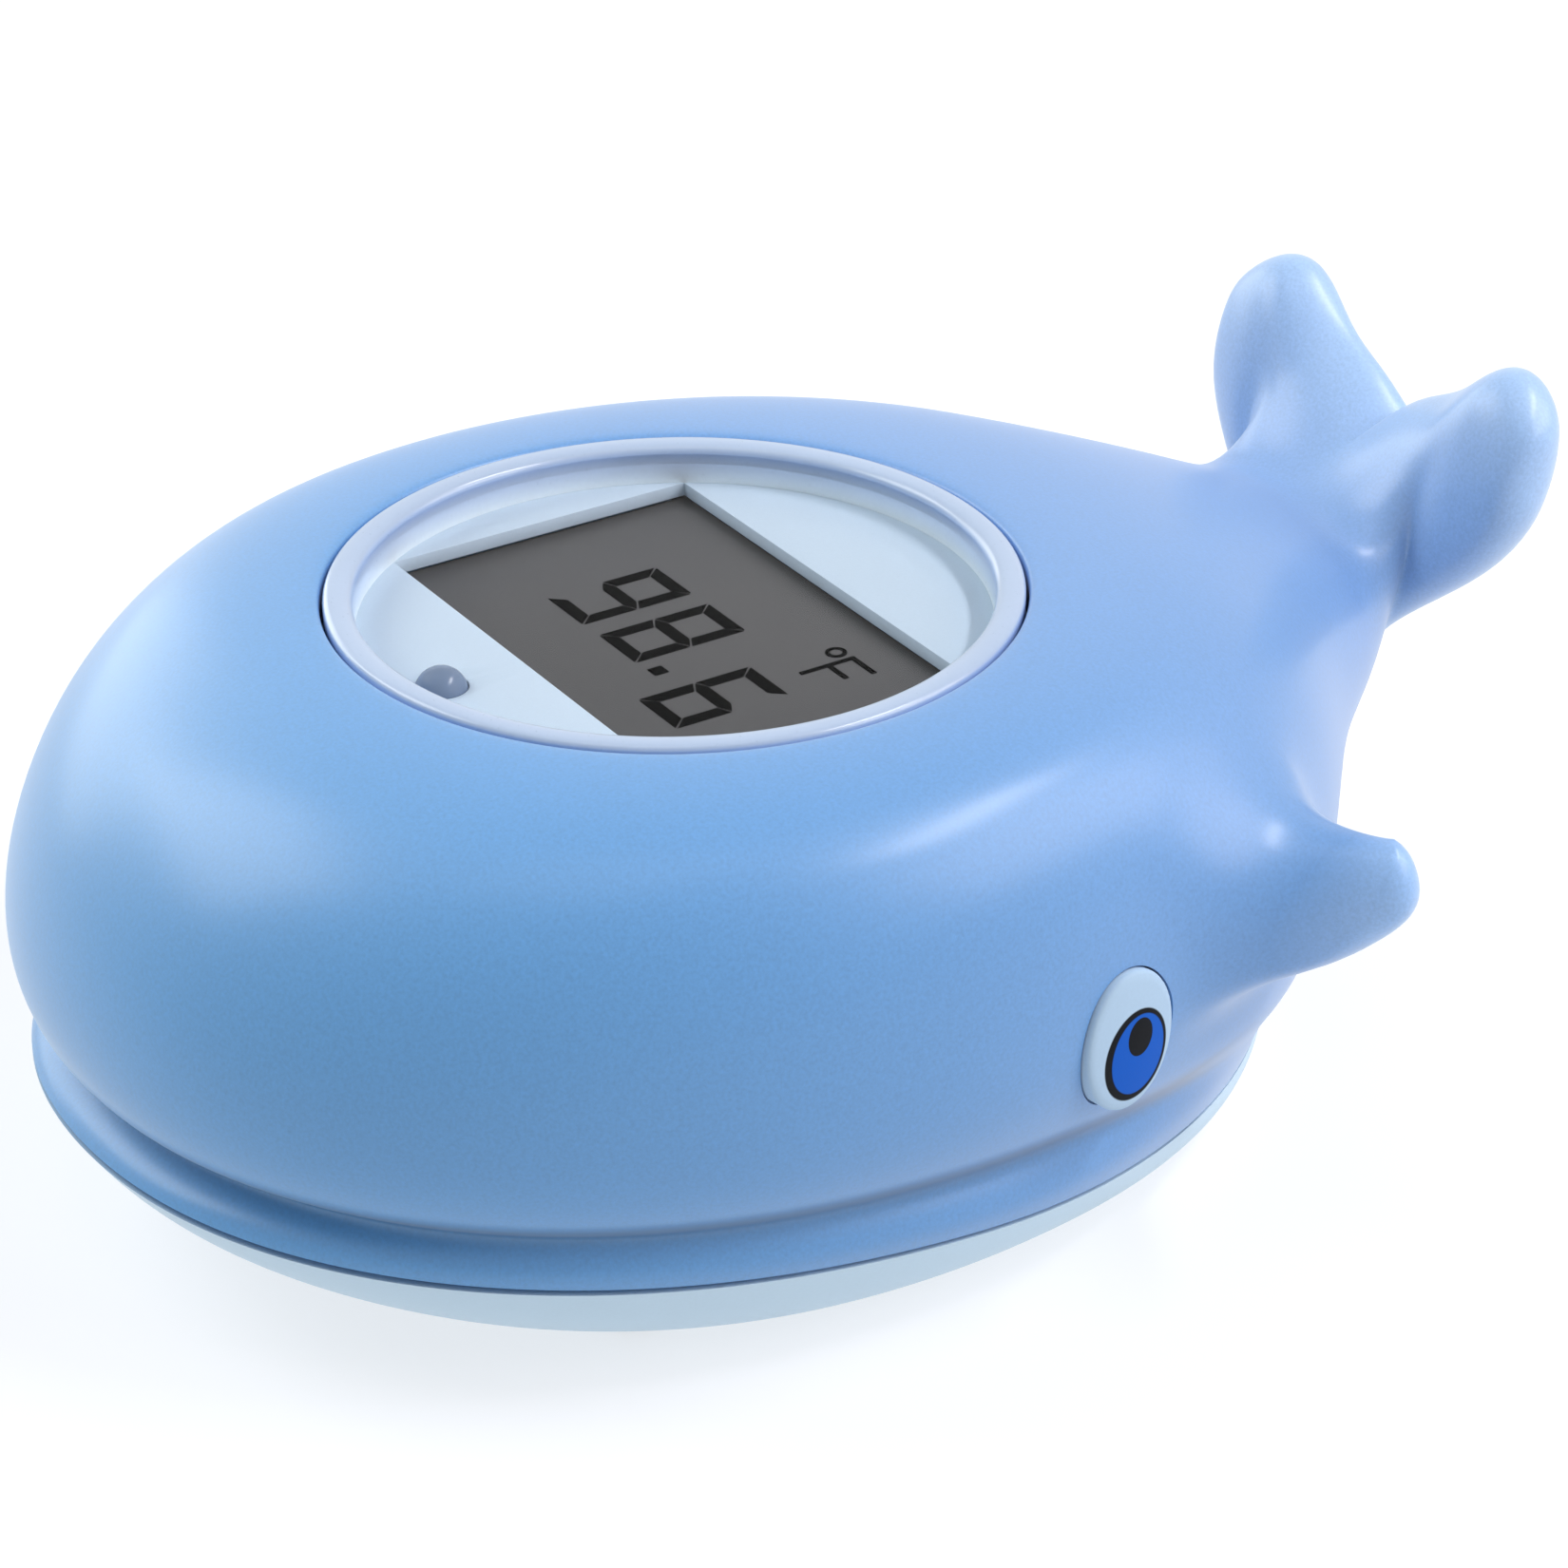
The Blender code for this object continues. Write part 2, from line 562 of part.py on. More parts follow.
verts, faces, sharp = belly_cage()
belly = smooth(new_object("belly_shell", verts, faces, BELLY_PALE, sharp), 1)
CUP_R = DOOR_R + 1.6
combine(belly, prism("cup", disc(CUP_R, 28), 1.2, ROOM_TOP + 1.4, BELLY_PALE), "UNION")
for sx in (1, -1):
    for sy in (1, -1):
        sleeve = prism("sleeve", disc(4.1, 12, sx * POST_X, sy * POST_Y), 1.2, SEAM_Z + 2.3, BELLY_PALE)
        combine(belly, sleeve, "UNION")
combine(belly, prism("boss", disc(SENSOR_R + 2.2, 16, 0, SENSOR_Y), 1.2, 6.4, BELLY_PALE), "UNION")
combine(belly, prism("door_seat", disc(DOOR_R + 0.25, 28), -1.0, DOOR_T + GAP, BELLY_PALE), "DIFFERENCE")
combine(belly, prism("cell_room", disc(CELL_R + 1.0, 24), 1.0, ROOM_TOP, BELLY_PALE), "DIFFERENCE")
for sy in (1, -1):
    combine(belly, prism("hole", disc(0.95, 8, 0, sy * DOOR_SCREW_Y), 1.5, 8.6, BELLY_PALE), "DIFFERENCE")
for sx in (1, -1):
    for sy in (1, -1):
        at = (sx * POST_X, sy * POST_Y)
        combine(belly, prism("bore", disc(2.9, 10, *at), -1.0, 4.6, BELLY_PALE), "DIFFERENCE")
        combine(belly, prism("bore", disc(1.3, 8, *at), 4.0, SEAM_Z + 4.0, BELLY_PALE), "DIFFERENCE")
combine(belly, prism("dish", disc(SENSOR_R + 1.4, 20, 0, SENSOR_Y), -1.0, 0.9, BELLY_PALE), "DIFFERENCE")
combine(belly, prism("dish", disc(SENSOR_R + GAP, 20, 0, SENSOR_Y), 0.5, 8.0, BELLY_PALE), "DIFFERENCE")
for sx in (1, -1):
    combine(belly, prism("pin_hole", disc(1.55, 12, sx * PIN_X, PIN_Y), -1.0, 4.0, BELLY_PALE), "DIFFERENCE")
for sx in (1, -1):
    combine(belly, prism("wire_hole", disc(0.9, 8, sx * 6.0, 0), ROOM_TOP - 1.0, ROOM_TOP + 3.0, BELLY_PALE), "DIFFERENCE")

# Seal band inside the seam
SEAL = (
    (1.0, A - W - 4.4, A - W - 4.1, F - W - 6.0, R - W - 6.9, LIP + 1.1, LIP + 1.1, LIP + 1.1),
    (1.0, A - W - 5.6, A - W - 5.3, F - W - 7.2, R - W - 8.1, LIP + 1.1, LIP + 1.1, LIP + 1.1),
    (1.0, A - W - 5.6, A - W - 5.3, F - W - 7.2, R - W - 8.1, LIP - DEEP * 0.1, LIP - DEEP * 0.1, LIP - DEEP * 0.1),
    (1.0, A - W - 4.4, A - W - 4.1, F - W - 6.0, R - W - 6.9, LIP - DEEP * 0.1, LIP - DEEP * 0.1, LIP - DEEP * 0.1),
)
verts, faces = [], []
for ring in SEAL:
    verts += [ring_point(ring, k) for k in range(COLUMNS)]
for r in range(4):
    for k in range(COLUMNS):
        m, s = (k + 1) % COLUMNS, (r + 1) % 4
        faces.append((r * COLUMNS + k, r * COLUMNS + m, s * COLUMNS + m, s * COLUMNS + k))
new_object("case_seal", verts, faces, RUBBER)

# Clear window with its raised rim, standing on the face plate
T = WINDOW_Z
lathe("window_lens", ((0, T - 1.6), (LENS_IN_R - 0.1, T - 1.6), (LENS_IN_R - 0.1, T - 2.9),
                      (LENS_R, T - 2.9), (LENS_R, T - 0.7), (LENS_R - 0.35, T - 0.15),
                      (LENS_R - 0.95, T), (LENS_IN_R + 0.35, T - 0.05), (LENS_IN_R, T - 0.35),
                      (0, T - 0.35)), CLEAR, 36, closed=False)

# Face plate with the display opening and the light hole
PLATE_R = POCKET_R - 0.55
plate = lathe("face_plate", ((0, T - 4.1), (PLATE_R, T - 4.1), (PLATE_R, T - 3.1), (0, T - 3.1)),
              PLATE_PALE, 32, closed=False)
opening = [(-LCD_X / 2, -LCD_Y / 2), (LCD_X / 2, -LCD_Y / 2), (LCD_X / 2, LCD_Y / 2), (-LCD_X / 2, LCD_Y / 2)]
combine(plate, prism("opening", opening, T - 5, T - 2, PLATE_PALE), "DIFFERENCE")
combine(plate, prism("light_hole", disc(LED_R + 0.2, 16, 0, LED_Y), T - 5, T - 2, PLATE_PALE), "DIFFERENCE")

GASKET_IN, GASKET_OUT = SHELF_R + GAP, POCKET_R - 0.35
lathe("lens_gasket", ((GASKET_IN, SHELF_Z + 0.2), (GASKET_OUT, SHELF_Z + 0.2),
                      (GASKET_OUT, SHELF_Z + 0.8), (GASKET_IN, SHELF_Z + 0.8)), RUBBER, 24)

# Display glass, its contact strips, the board and the chip
GLASS_X, GLASS_Y = LCD_X / 2 + 0.25, LCD_Y / 2 + 0.25
lcd = [(-GLASS_X, -GLASS_Y), (GLASS_X, -GLASS_Y), (GLASS_X, GLASS_Y), (-GLASS_X, GLASS_Y)]
prism("lcd_glass", lcd, T - 6.4, T - 4.3, SCREEN)
STRIP_X, STRIP_Y = LCD_X / 2 - 1.0, LCD_Y / 2 - 1.0
for name, y in (("zebra_front", -STRIP_Y), ("zebra_rear", STRIP_Y)):
    bar = [(-STRIP_X, y - 1.1), (STRIP_X, y - 1.1), (STRIP_X, y + 1.1), (-STRIP_X, y + 1.1)]
    prism(name, bar, BOARD_Z + 1.4, T - 6.6, PINK)
board = prism("circuit_board", rounded(BOARD_X + 2.6, BOARD_HALF_Y, 2.5), BOARD_Z, BOARD_Z + 1.2, BOARD)
tab = rounded(5.5, 5.5, 1.5, 0, LED_Y + 2.3)
combine(board, prism("tab", tab, BOARD_Z, BOARD_Z + 1.2, BOARD), "UNION")
for sx in (1, -1):
    combine(board, prism("hole", disc(1.2, 10, sx * BOARD_X, 0), BOARD_Z - 1, BOARD_Z + 2, BOARD), "DIFFERENCE")
lathe("chip_blob", ((0, BOARD_Z - 0.2), (4.6, BOARD_Z - 0.2), (4.4, BOARD_Z - 0.9), (2.8, BOARD_Z - 1.5),
                    (0, BOARD_Z - 1.7)), BLACK, 16, closed=False)
for n, sx in ((1, 1), (2, -1)):
    lathe("board_screw_%d" % n, ((0, BOARD_Z - 1.4), (1.7, BOARD_Z - 1.4), (1.7, BOARD_Z - 0.2),
                                 (0.7, BOARD_Z - 0.2), (0.7, BOARD_Z + 3.2), (0, BOARD_Z + 3.2)),
          STEEL, 12, (sx * BOARD_X, 0, 0), closed=False)

# Alarm light: a small domed lamp standing on the board
dome = [(LED_R * math.cos(math.radians(a)), T - 3.55 + LED_R * math.sin(math.radians(a))) for a in (0, 22, 45, 68)]
lathe("alarm_led", [(0, BOARD_Z + 1.4), (LED_R, BOARD_Z + 1.4)] + dome + [(0, T - 3.55 + LED_R)], LED_GREY, 16,
      (0, LED_Y, 0), closed=False)

# Eyes: oval inserts, slightly domed, in their sockets
for name, sign in (("eye_left", 1), ("eye_right", -1)):
    eye_solid(name, ((-1.25, 1.0), (0.15, 1.0), (0.55, 0.94), (0.85, 0.72), (0.98, 0.4)), sign, EYE_WHITE)

# Case screws from below
for n, (sx, sy) in enumerate(((1, 1), (-1, 1), (-1, -1), (1, -1)), 1):
    screw = lathe("case_screw_%d" % n, ((0, 2.6), (2.5, 2.6), (2.5, 4.3), (1.0, 4.3), (1.0, SEAM_Z + 11.0),
                                        (0, SEAM_Z + 11.6)), STEEL, 12, (sx * POST_X, sy * POST_Y, 0), closed=False)
    for half_x, half_y in ((1.6, 0.3), (0.3, 1.6)):
        slot = [(sx * POST_X - half_x, sy * POST_Y - half_y), (sx * POST_X + half_x, sy * POST_Y - half_y),
                (sx * POST_X + half_x, sy * POST_Y + half_y), (sx * POST_X - half_x, sy * POST_Y + half_y)]
        combine(screw, prism("slot", slot, 2.0, 3.4, STEEL), "DIFFERENCE")

# Battery door with its seal and two screws
door = prism("battery_door", disc(DOOR_R, 28), 0.0, DOOR_T, BELLY_PALE)
for sy in (1, -1):
    combine(door, prism("hole", disc(2.3, 12, 0, sy * DOOR_SCREW_Y), -1.0, 1.0, BELLY_PALE), "DIFFERENCE")
    combine(door, prism("hole", disc(1.15, 12, 0, sy * DOOR_SCREW_Y), -1.0, 2.0, BELLY_PALE), "DIFFERENCE")
for sx in (1, -1):
    for y in (-2.0, 0.0, 2.0):
        x0, x1 = sx * CELL_R * 0.95 - 3.5, sx * CELL_R * 0.95 + 3.5
        bar = [(x0, y - 0.35), (x1, y - 0.35), (x1, y + 0.35), (x0, y + 0.35)]
        combine(door, prism("grip", bar, -1.0, 0.5, BELLY_PALE), "DIFFERENCE")
SEAL_IN, SEAL_OUT = CELL_R + 1.7, CELL_R + 3.1
seal_room = lathe("seal_room", ((SEAL_IN - 0.2, DOOR_T - 0.1), (SEAL_OUT + 0.2, DOOR_T - 0.1),
                                (SEAL_OUT + 0.2, DOOR_T + 1.2), (SEAL_IN - 0.2, DOOR_T + 1.2)), RUBBER, 24)
combine(belly, seal_room, "DIFFERENCE")
lathe("door_seal", ((SEAL_IN, DOOR_T + 0.15), (SEAL_OUT, DOOR_T + 0.15), (SEAL_OUT, DOOR_T + 1.0),
                    (SEAL_IN, DOOR_T + 1.0)), RUBBER, 24)
for n, sy in ((1, -1), (2, 1)):
    screw = lathe("door_screw_%d" % n, ((0, 0.3), (2.05, 0.3), (2.05, 0.85), (0.8, 0.85), (0.8, 8.0), (0, 8.3)),
                  STEEL, 12, (0, sy * DOOR_SCREW_Y, 0), closed=False)
    y0, y1 = sy * DOOR_SCREW_Y - 0.25, sy * DOOR_SCREW_Y + 0.25
    slot = [(-1.4, y0), (1.4, y0), (1.4, y1), (-1.4, y1)]
    combine(screw, prism("slot", slot, 0.0, 0.6, STEEL), "DIFFERENCE")

# Coin cell and its two contacts
lathe("coin_cell", ((0, CELL_Z), (CELL_R - 0.5, CELL_Z), (CELL_R, CELL_Z + 0.5), (CELL_R, CELL_TOP - 0.7),
                    (CELL_R - 1.2, CELL_TOP - 0.6), (CELL_R - 1.6, CELL_TOP), (0, CELL_TOP)),
      CELL, 24, closed=False)


def strip(name, path, half, thick, mat):
    # A bent metal strip: the path is in X and Z, the width lies along Y.
    pts = [Vector((x, 0, z)) for x, z in path]
    vs, fs = [], []
    for i, p in enumerate(pts):
        along = (pts[min(i + 1, len(pts) - 1)] - pts[max(i - 1, 0)]).normalized()
        normal = Vector((-along.z, 0, along.x)) * thick / 2
        for y, s in ((-half, -1), (half, -1), (half, 1), (-half, 1)):
            q = p + normal * s
            vs.append((q.x, y, q.z))
    for i in range(len(pts) - 1):
        for k in range(4):
            m = (k + 1) % 4
            fs.append((4 * i + k, 4 * i + m, 4 * i + 4 + m, 4 * i + 4 + k))
    fs.append((3, 2, 1, 0))
    e = 4 * (len(pts) - 1)
    fs.append((e, e + 1, e + 2, e + 3))
    return new_object(name, vs, fs, mat)


C = CELL_TOP
strip("contact_minus", ((-8.0, ROOM_TOP - 0.5), (-4.0, ROOM_TOP - 0.6), (-1.5, C + 1.9), (0.5, C + 0.45),
                        (2.0, C + 0.4), (3.2, C + 1.1)), 2.0, 0.3, STEEL)
strip("contact_plus", ((3.9, ROOM_TOP - 0.5), (CELL_R - 1.4, ROOM_TOP - 0.5), (CELL_R + 0.35, ROOM_TOP - 1.0),
                       (CELL_R + 0.55, C - 0.1), (CELL_R + 0.3, C - 1.9)), 2.0, 0.3, STEEL)

# Water temperature sensor: steel cap, bead and two leads
CAP_IN = SENSOR_R - 0.5
lathe("sensor_cap", ((0, 0.25), (SENSOR_R - 0.6, 0.3), (SENSOR_R, 0.7), (SENSOR_R, 5.6), (CAP_IN, 5.6),
                     (CAP_IN, 1.1), (0, 0.9)), STEEL, 20, (0, SENSOR_Y, 0), closed=False)
lathe("thermistor", ((0, 1.2), (1.0, 1.7), (1.3, 2.6), (1.0, 3.6), (0, 4.0)), BLACK, 12, (0, SENSOR_Y, 0),
      closed=False)
for n, sx in ((1, 1), (2, -1)):
    lathe("water_pin_%d" % n, ((0, 0.2), (1.1, 0.25), (1.35, 0.6), (1.35, 4.6), (0, 4.6)), STEEL, 12,
          (sx * PIN_X, PIN_Y, 0), closed=False)
B = BOARD_Z - 0.25
PAD_X, PAD_Y = BOARD_X - 13.3, BOARD_HALF_Y - 4.6
for n, sx, mat in ((1, 1, WIRE_RED), (2, -1, WIRE_BLACK)):
    path = curve(((sx * 0.7, SENSOR_Y, 4.3), (sx * 0.9, SENSOR_Y, 8.0), (sx * 4.0, SENSOR_Y, B * 0.54),
                  (sx * 6.5, LED_Y - 0.7, B * 0.8), (sx * 4.2, LED_Y + 3.3, B - 1.5), (sx * 4.0, LED_Y + 3.7, B)), 2)
    tube("sensor_wire_%d" % n, path, 0.45, mat, 6)
    path = curve(((sx * PIN_X, PIN_Y, 4.9), (sx * (PIN_X + 0.3), PIN_Y + 0.4, 9.0), (sx * 14.0, -20.0, B * 0.57),
                  (sx * 15.0, -13.5, B * 0.84), (sx * PAD_X, -PAD_Y - 0.4, B - 1.5), (sx * PAD_X, -PAD_Y, B)), 2)
    tube("pin_wire_%d" % n, path, 0.45, WIRE_BLACK, 6)
    path = curve(((sx * 6.0, 0, ROOM_TOP - 0.05), (sx * 6.0, 0, ROOM_TOP + 3.0), (sx * 9.5, 3.0, B * 0.6),
                  (sx * 12.5, 7.0, B * 0.84), (sx * PAD_X, PAD_Y, B - 1.5), (sx * PAD_X, PAD_Y, B)), 2)
    tube("cell_wire_%d" % n, path, 0.45, mat, 6)
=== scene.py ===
import math

import bmesh
import bpy
from mathutils import Matrix, Vector


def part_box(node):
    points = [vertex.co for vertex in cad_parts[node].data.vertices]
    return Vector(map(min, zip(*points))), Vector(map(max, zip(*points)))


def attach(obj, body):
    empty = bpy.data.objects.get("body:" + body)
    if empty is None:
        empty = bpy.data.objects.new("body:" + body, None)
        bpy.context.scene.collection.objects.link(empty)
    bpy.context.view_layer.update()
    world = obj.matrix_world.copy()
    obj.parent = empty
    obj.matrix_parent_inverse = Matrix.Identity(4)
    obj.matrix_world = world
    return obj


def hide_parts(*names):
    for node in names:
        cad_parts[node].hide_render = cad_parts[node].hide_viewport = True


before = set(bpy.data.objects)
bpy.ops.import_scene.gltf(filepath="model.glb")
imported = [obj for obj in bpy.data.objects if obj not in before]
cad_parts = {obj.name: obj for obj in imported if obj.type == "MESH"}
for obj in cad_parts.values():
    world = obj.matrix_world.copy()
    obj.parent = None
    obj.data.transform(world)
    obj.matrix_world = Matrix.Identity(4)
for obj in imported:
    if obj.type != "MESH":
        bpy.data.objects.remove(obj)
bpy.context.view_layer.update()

# Camera and framing
# The whale is seen from its front left, from a little above, with a long lens.
# All sizes below are millimetres from the middle of the flat base, +Z up, nose at -Y.
MM = 0.001
WINDOW_Z = 39.6
CAMERA_TURN = math.radians(57.7)
CAMERA_RISE = math.radians(28.7)
CAMERA_ROLL = math.radians(-0.457)
CAMERA_REACH = 323.5
AIM_RIGHT = 7.48
AIM_DOWN = 13.877
scene = bpy.context.scene
back = Vector((math.sin(CAMERA_TURN) * math.cos(CAMERA_RISE),
               -math.cos(CAMERA_TURN) * math.cos(CAMERA_RISE), math.sin(CAMERA_RISE)))
level = Vector((math.cos(CAMERA_TURN), math.sin(CAMERA_TURN), 0.0))
upright = back.cross(level)
right = level * math.cos(CAMERA_ROLL) + upright * math.sin(CAMERA_ROLL)
upward = upright * math.cos(CAMERA_ROLL) - level * math.sin(CAMERA_ROLL)
eye_point = Vector((0, 0, WINDOW_Z)) + back * CAMERA_REACH
eye_point = (eye_point + right * AIM_RIGHT - upward * AIM_DOWN) * MM
camera = bpy.data.objects.new("camera", bpy.data.cameras.new("camera"))
scene.collection.objects.link(camera)
camera.matrix_world = Matrix((
    (right.x, upward.x, back.x, eye_point.x),
    (right.y, upward.y, back.y, eye_point.y),
    (right.z, upward.z, back.z, eye_point.z),
    (0, 0, 0, 1),
))
camera.data.sensor_width = 36.0
camera.data.lens = 108.8
camera.data.clip_start = 0.01
scene.camera = camera
scene.view_settings.view_transform = "Standard"

# Studio
# A pale floor and a white surround. One soft lamp stands before the nose, one on the right, two
# behind the left side, one of them the narrow strip that draws the streak, and one overhead.
SURROUND_LIGHT = 0.42
FLOOR_HALF = 2.0
FLOOR_Z = -0.0001
FLOOR_GLOW = 0.43
FLOOR_GLOW_SEEN = 0.19
LAMP_TARGET = Vector((0, 0.005, 0.025))


def add_node(tree, kind, inputs=(), **settings):
    # One node: its settings, then each input as a plain value or a link from an output.
    node = tree.nodes.new(kind)
    for label, value in settings.items():
        setattr(node, label, value)
    for label, value in dict(inputs).items():
        if isinstance(value, bpy.types.NodeSocket):
            tree.links.new(value, node.inputs[label])
        else:
            node.inputs[label].default_value = value
    return node


def math_node(tree, operation, *values):
    return add_node(tree, "ShaderNodeMath", enumerate(values), operation=operation).outputs[0]


def seen_plain(tree, ray):
    # 1 for the camera, gloss and glass, which see the surround and the floor as plain white.
    seen = math_node(tree, "MAXIMUM", ray["Is Camera Ray"], ray["Is Glossy Ray"])
    return math_node(tree, "MAXIMUM", seen, ray["Is Transmission Ray"])


world = bpy.data.worlds.new("studio")
scene.world = world
world.use_nodes = True
tree = world.node_tree
tree.nodes.clear()
ray = add_node(tree, "ShaderNodeLightPath").outputs
first_hit = math_node(tree, "LESS_THAN", ray["Diffuse Depth"], 0.5)
plain_share = math_node(tree, "MULTIPLY", seen_plain(tree, ray), first_hit)
# The pane already passes the surround's light to the plate as shadow rays, so a ray that leaves
# the plate through the pane finds none, or that light would count twice.
under_pane = math_node(tree, "MULTIPLY", ray["Is Transmission Ray"], ray["Diffuse Depth"])
strength = add_node(tree, "ShaderNodeMapRange",
                    {"Value": under_pane, "To Min": SURROUND_LIGHT, "To Max": 0.0})
soft = add_node(tree, "ShaderNodeBackground",
                {"Color": (0.93, 0.96, 1.0, 1), "Strength": strength.outputs["Result"]})
white = add_node(tree, "ShaderNodeBackground", {"Color": (1, 1, 1, 1)})
either = add_node(tree, "ShaderNodeMixShader",
                  {"Fac": plain_share, 1: soft.outputs[0], 2: white.outputs[0]})
add_node(tree, "ShaderNodeOutputWorld", {"Surface": either.outputs[0]})


def soft_lamp(name, turn, rise, reach, width, height, power, tint):
    # A rectangular soft box that looks at the middle of the whale: degrees, metres, watts.
    lamp = bpy.data.lights.new(name, "AREA")
    lamp.shape = "RECTANGLE"
    lamp.size = width
    lamp.size_y = height
    lamp.energy = power
    lamp.color = tint
    obj = bpy.data.objects.new(name, lamp)
    scene.collection.objects.link(obj)
    obj.visible_transmission = False
    turn, rise = math.radians(turn), math.radians(rise)
    away = Vector((math.sin(turn) * math.cos(rise), -math.cos(turn) * math.cos(rise),
                   math.sin(rise)))
    obj.location = LAMP_TARGET + away * reach
    obj.rotation_euler = away.to_track_quat("Z", "Y").to_euler()


soft_lamp("lamp_nose", -48, 40, 0.55, 0.34, 0.26, 1.05, (0.97, 0.99, 1.0))
soft_lamp("lamp_right", -78, 16, 0.60, 0.40, 0.30, 0.9, (0.93, 0.98, 1.0))
soft_lamp("lamp_side", 138, 30, 0.55, 0.46, 0.26, 1.2, (1.0, 0.95, 0.98))
soft_lamp("lamp_streak", 146, 55, 0.55, 0.28, 0.045, 1.1, (1.0, 0.97, 1.0))
soft_lamp("lamp_top", 20, 80, 0.60, 0.30, 0.30, 0.25, (1.0, 1.0, 1.0))

floor_mesh = bpy.data.meshes.new("floor")
floor_mesh.from_pydata([(x * FLOOR_HALF, y * FLOOR_HALF, FLOOR_Z)
                        for x, y in ((-1, -1), (1, -1), (1, 1), (-1, 1))], [], [(0, 1, 2, 3)])
floor = bpy.data.objects.new("floor", floor_mesh)
scene.collection.objects.link(floor)
pale = bpy.data.materials.new("floor_pale")
pale.use_nodes = True
tree = pale.node_tree
tree.nodes.clear()
ray = add_node(tree, "ShaderNodeLightPath").outputs
glow_share = math_node(tree, "MULTIPLY_ADD", seen_plain(tree, ray), FLOOR_GLOW_SEEN, FLOOR_GLOW)
glow = add_node(tree, "ShaderNodeEmission", {"Color": (1, 1, 1, 1), "Strength": glow_share})
matt = add_node(tree, "ShaderNodeBsdfDiffuse", {"Color": (0.42, 0.43, 0.45, 1)})
both = add_node(tree, "ShaderNodeAddShader", {0: matt.outputs[0], 1: glow.outputs[0]})
add_node(tree, "ShaderNodeOutputMaterial", {"Surface": both.outputs[0]})
floor_mesh.materials.append(pale)

# Upper shell
# One soft-touch moulding: head, back, tail stock, two upright flukes and two flippers,
# open at the seam below and stepped round the window above. Four case screws hold it from below.
BODY_HALF_WIDTH = 40.3
BODY_FRONT = 47.9
BODY_REAR = 48.5
SEAM_DROP = 32.2
SEAM_Z = WINDOW_Z - SEAM_DROP
SEAM_TILT = 0.485 * SEAM_Z / BODY_FRONT
TILT_TOP = 23.9
FLOOR_T = 2.2
WALL = 2.3
COLUMNS = 32
HALF = COLUMNS // 2
SIDE = COLUMNS // 4
POCKET_R = 24.75
SHELF_R = 22.6
SHELF = -5.1
FADE_COLUMNS = 3.0
EGG_POWER = 2 / 2.12
REAR_CURVE = ((1.0, 0.0), (0.985, 0.171), (0.945, 0.336), (0.878, 0.491), (0.786, 0.633),
              (0.662, 0.763), (0.498, 0.887), (0.261, 0.969), (0.0, 1.0))


def tilt_share(z):
    # Full tilt at the seam, none above the cheeks or at the belly floor.
    if z > -SEAM_DROP:
        return min(max((-TILT_TOP - z) / (SEAM_DROP - TILT_TOP), 0.0), 1.0)
    return min(max((z + WINDOW_Z - FLOOR_T) / (SEAM_Z - FLOOR_T), 0.0), 1.0)


def ring_point(ring, column):
    # One vertex of a level: an egg in plan, round near the window.
    egg, a_front, a_rear, front, rear, z_front, z_side, z_rear = ring
    j = column if column <= HALF else COLUMNS - column
    sign = 1 if column <= HALF else -1
    fade = min(max((j - SIDE - 1) / FADE_COLUMNS, 0.0), 1.0)
    a = a_front + (a_rear - a_front) * fade
    angle = math.pi * j / HALF
    if j <= SIDE:
        s = math.sin(angle) ** EGG_POWER
        c = max(math.cos(angle), 0.0) ** EGG_POWER
        x, y = a * s, -front * c
        z = z_side + (z_front - z_side) * math.cos(angle) ** 2
    else:
        px, py = REAR_CURVE[j - SIDE]
        x, y = a * px, rear * py
        z = z_side + (z_rear - z_side) * math.sin(angle - math.pi / 2) ** 2
    x = egg * x + (1 - egg) * a * math.sin(angle)
    y = egg * y - (1 - egg) * (front if j <= SIDE else rear) * math.cos(angle)
    return (sign * x, y, WINDOW_Z + z - SEAM_TILT * y * tilt_share(z_side))


def circle_ring(r, z):
    # A round level, widened by what the subdivision takes off it.
    r = r / (1 - (1 - math.cos(2 * math.pi / COLUMNS)) / 3)
    return (0.0, r, r, r, r, z, z, z)


# Short names for the tables: widest half width, nose, rear, seam and wall.
A, F, R = BODY_HALF_WIDTH, BODY_FRONT, BODY_REAR
LIP = -SEAM_DROP
W = WALL
# Each level: egg share, half width front and rear, front, rear, height front, side and rear.
SHELL_OUTER = (
    circle_ring(24.14, -0.34),
    circle_ring(24.75, -0.06),
    (0.45, A - 9.8, A - 9.8, F - 17.2, R - 17.2, -0.62, -0.52, -0.42),
    (1.0, A - 4.9, A - 4.8, F - 10.2, R - 9.2, -2.9, -2.3, -1.7),
    (1.0, A - 1.3, A - 1.2, F - 3.9, R - 2.6, -8.4, -7.8, -6.4),
    (1.0, A, A + 0.3, F - 0.3, R + 0.2, -15.6, -15.0, -14.6),
    (1.0, A + 0.1, A + 0.2, F + 0.2, R + 0.2, LIP + 11.1, LIP + 11.5, LIP + 10.5),
    (1.0, A - 1.0, A - 0.2, F - 0.9, R - 0.4, LIP + 7.5, LIP + 7.6, LIP + 6.9),
    (1.0, A - 2.1, A - 0.8, F - 2.3, R - 1.0, LIP + 5.5, LIP + 5.6, LIP + 4.9),
    (1.0, A - 3.6, A - 1.7, F - 3.9, R - 2.2, LIP + 4.2, LIP + 4.2, LIP + 3.6),
    (1.0, A - 2.8, A - 2.6, F - 3.1, R - 3.2, LIP + 3.1, LIP + 3.1, LIP + 2.6),
    (1.0, A - 2.1, A - 3.1, F - 1.3, R - 4.1, LIP + 1.6, LIP + 1.6, LIP + 1.3),
    (1.0, A - 2.7, A - 3.5, F - 0.7, R - 5.1, LIP, LIP, LIP),
)
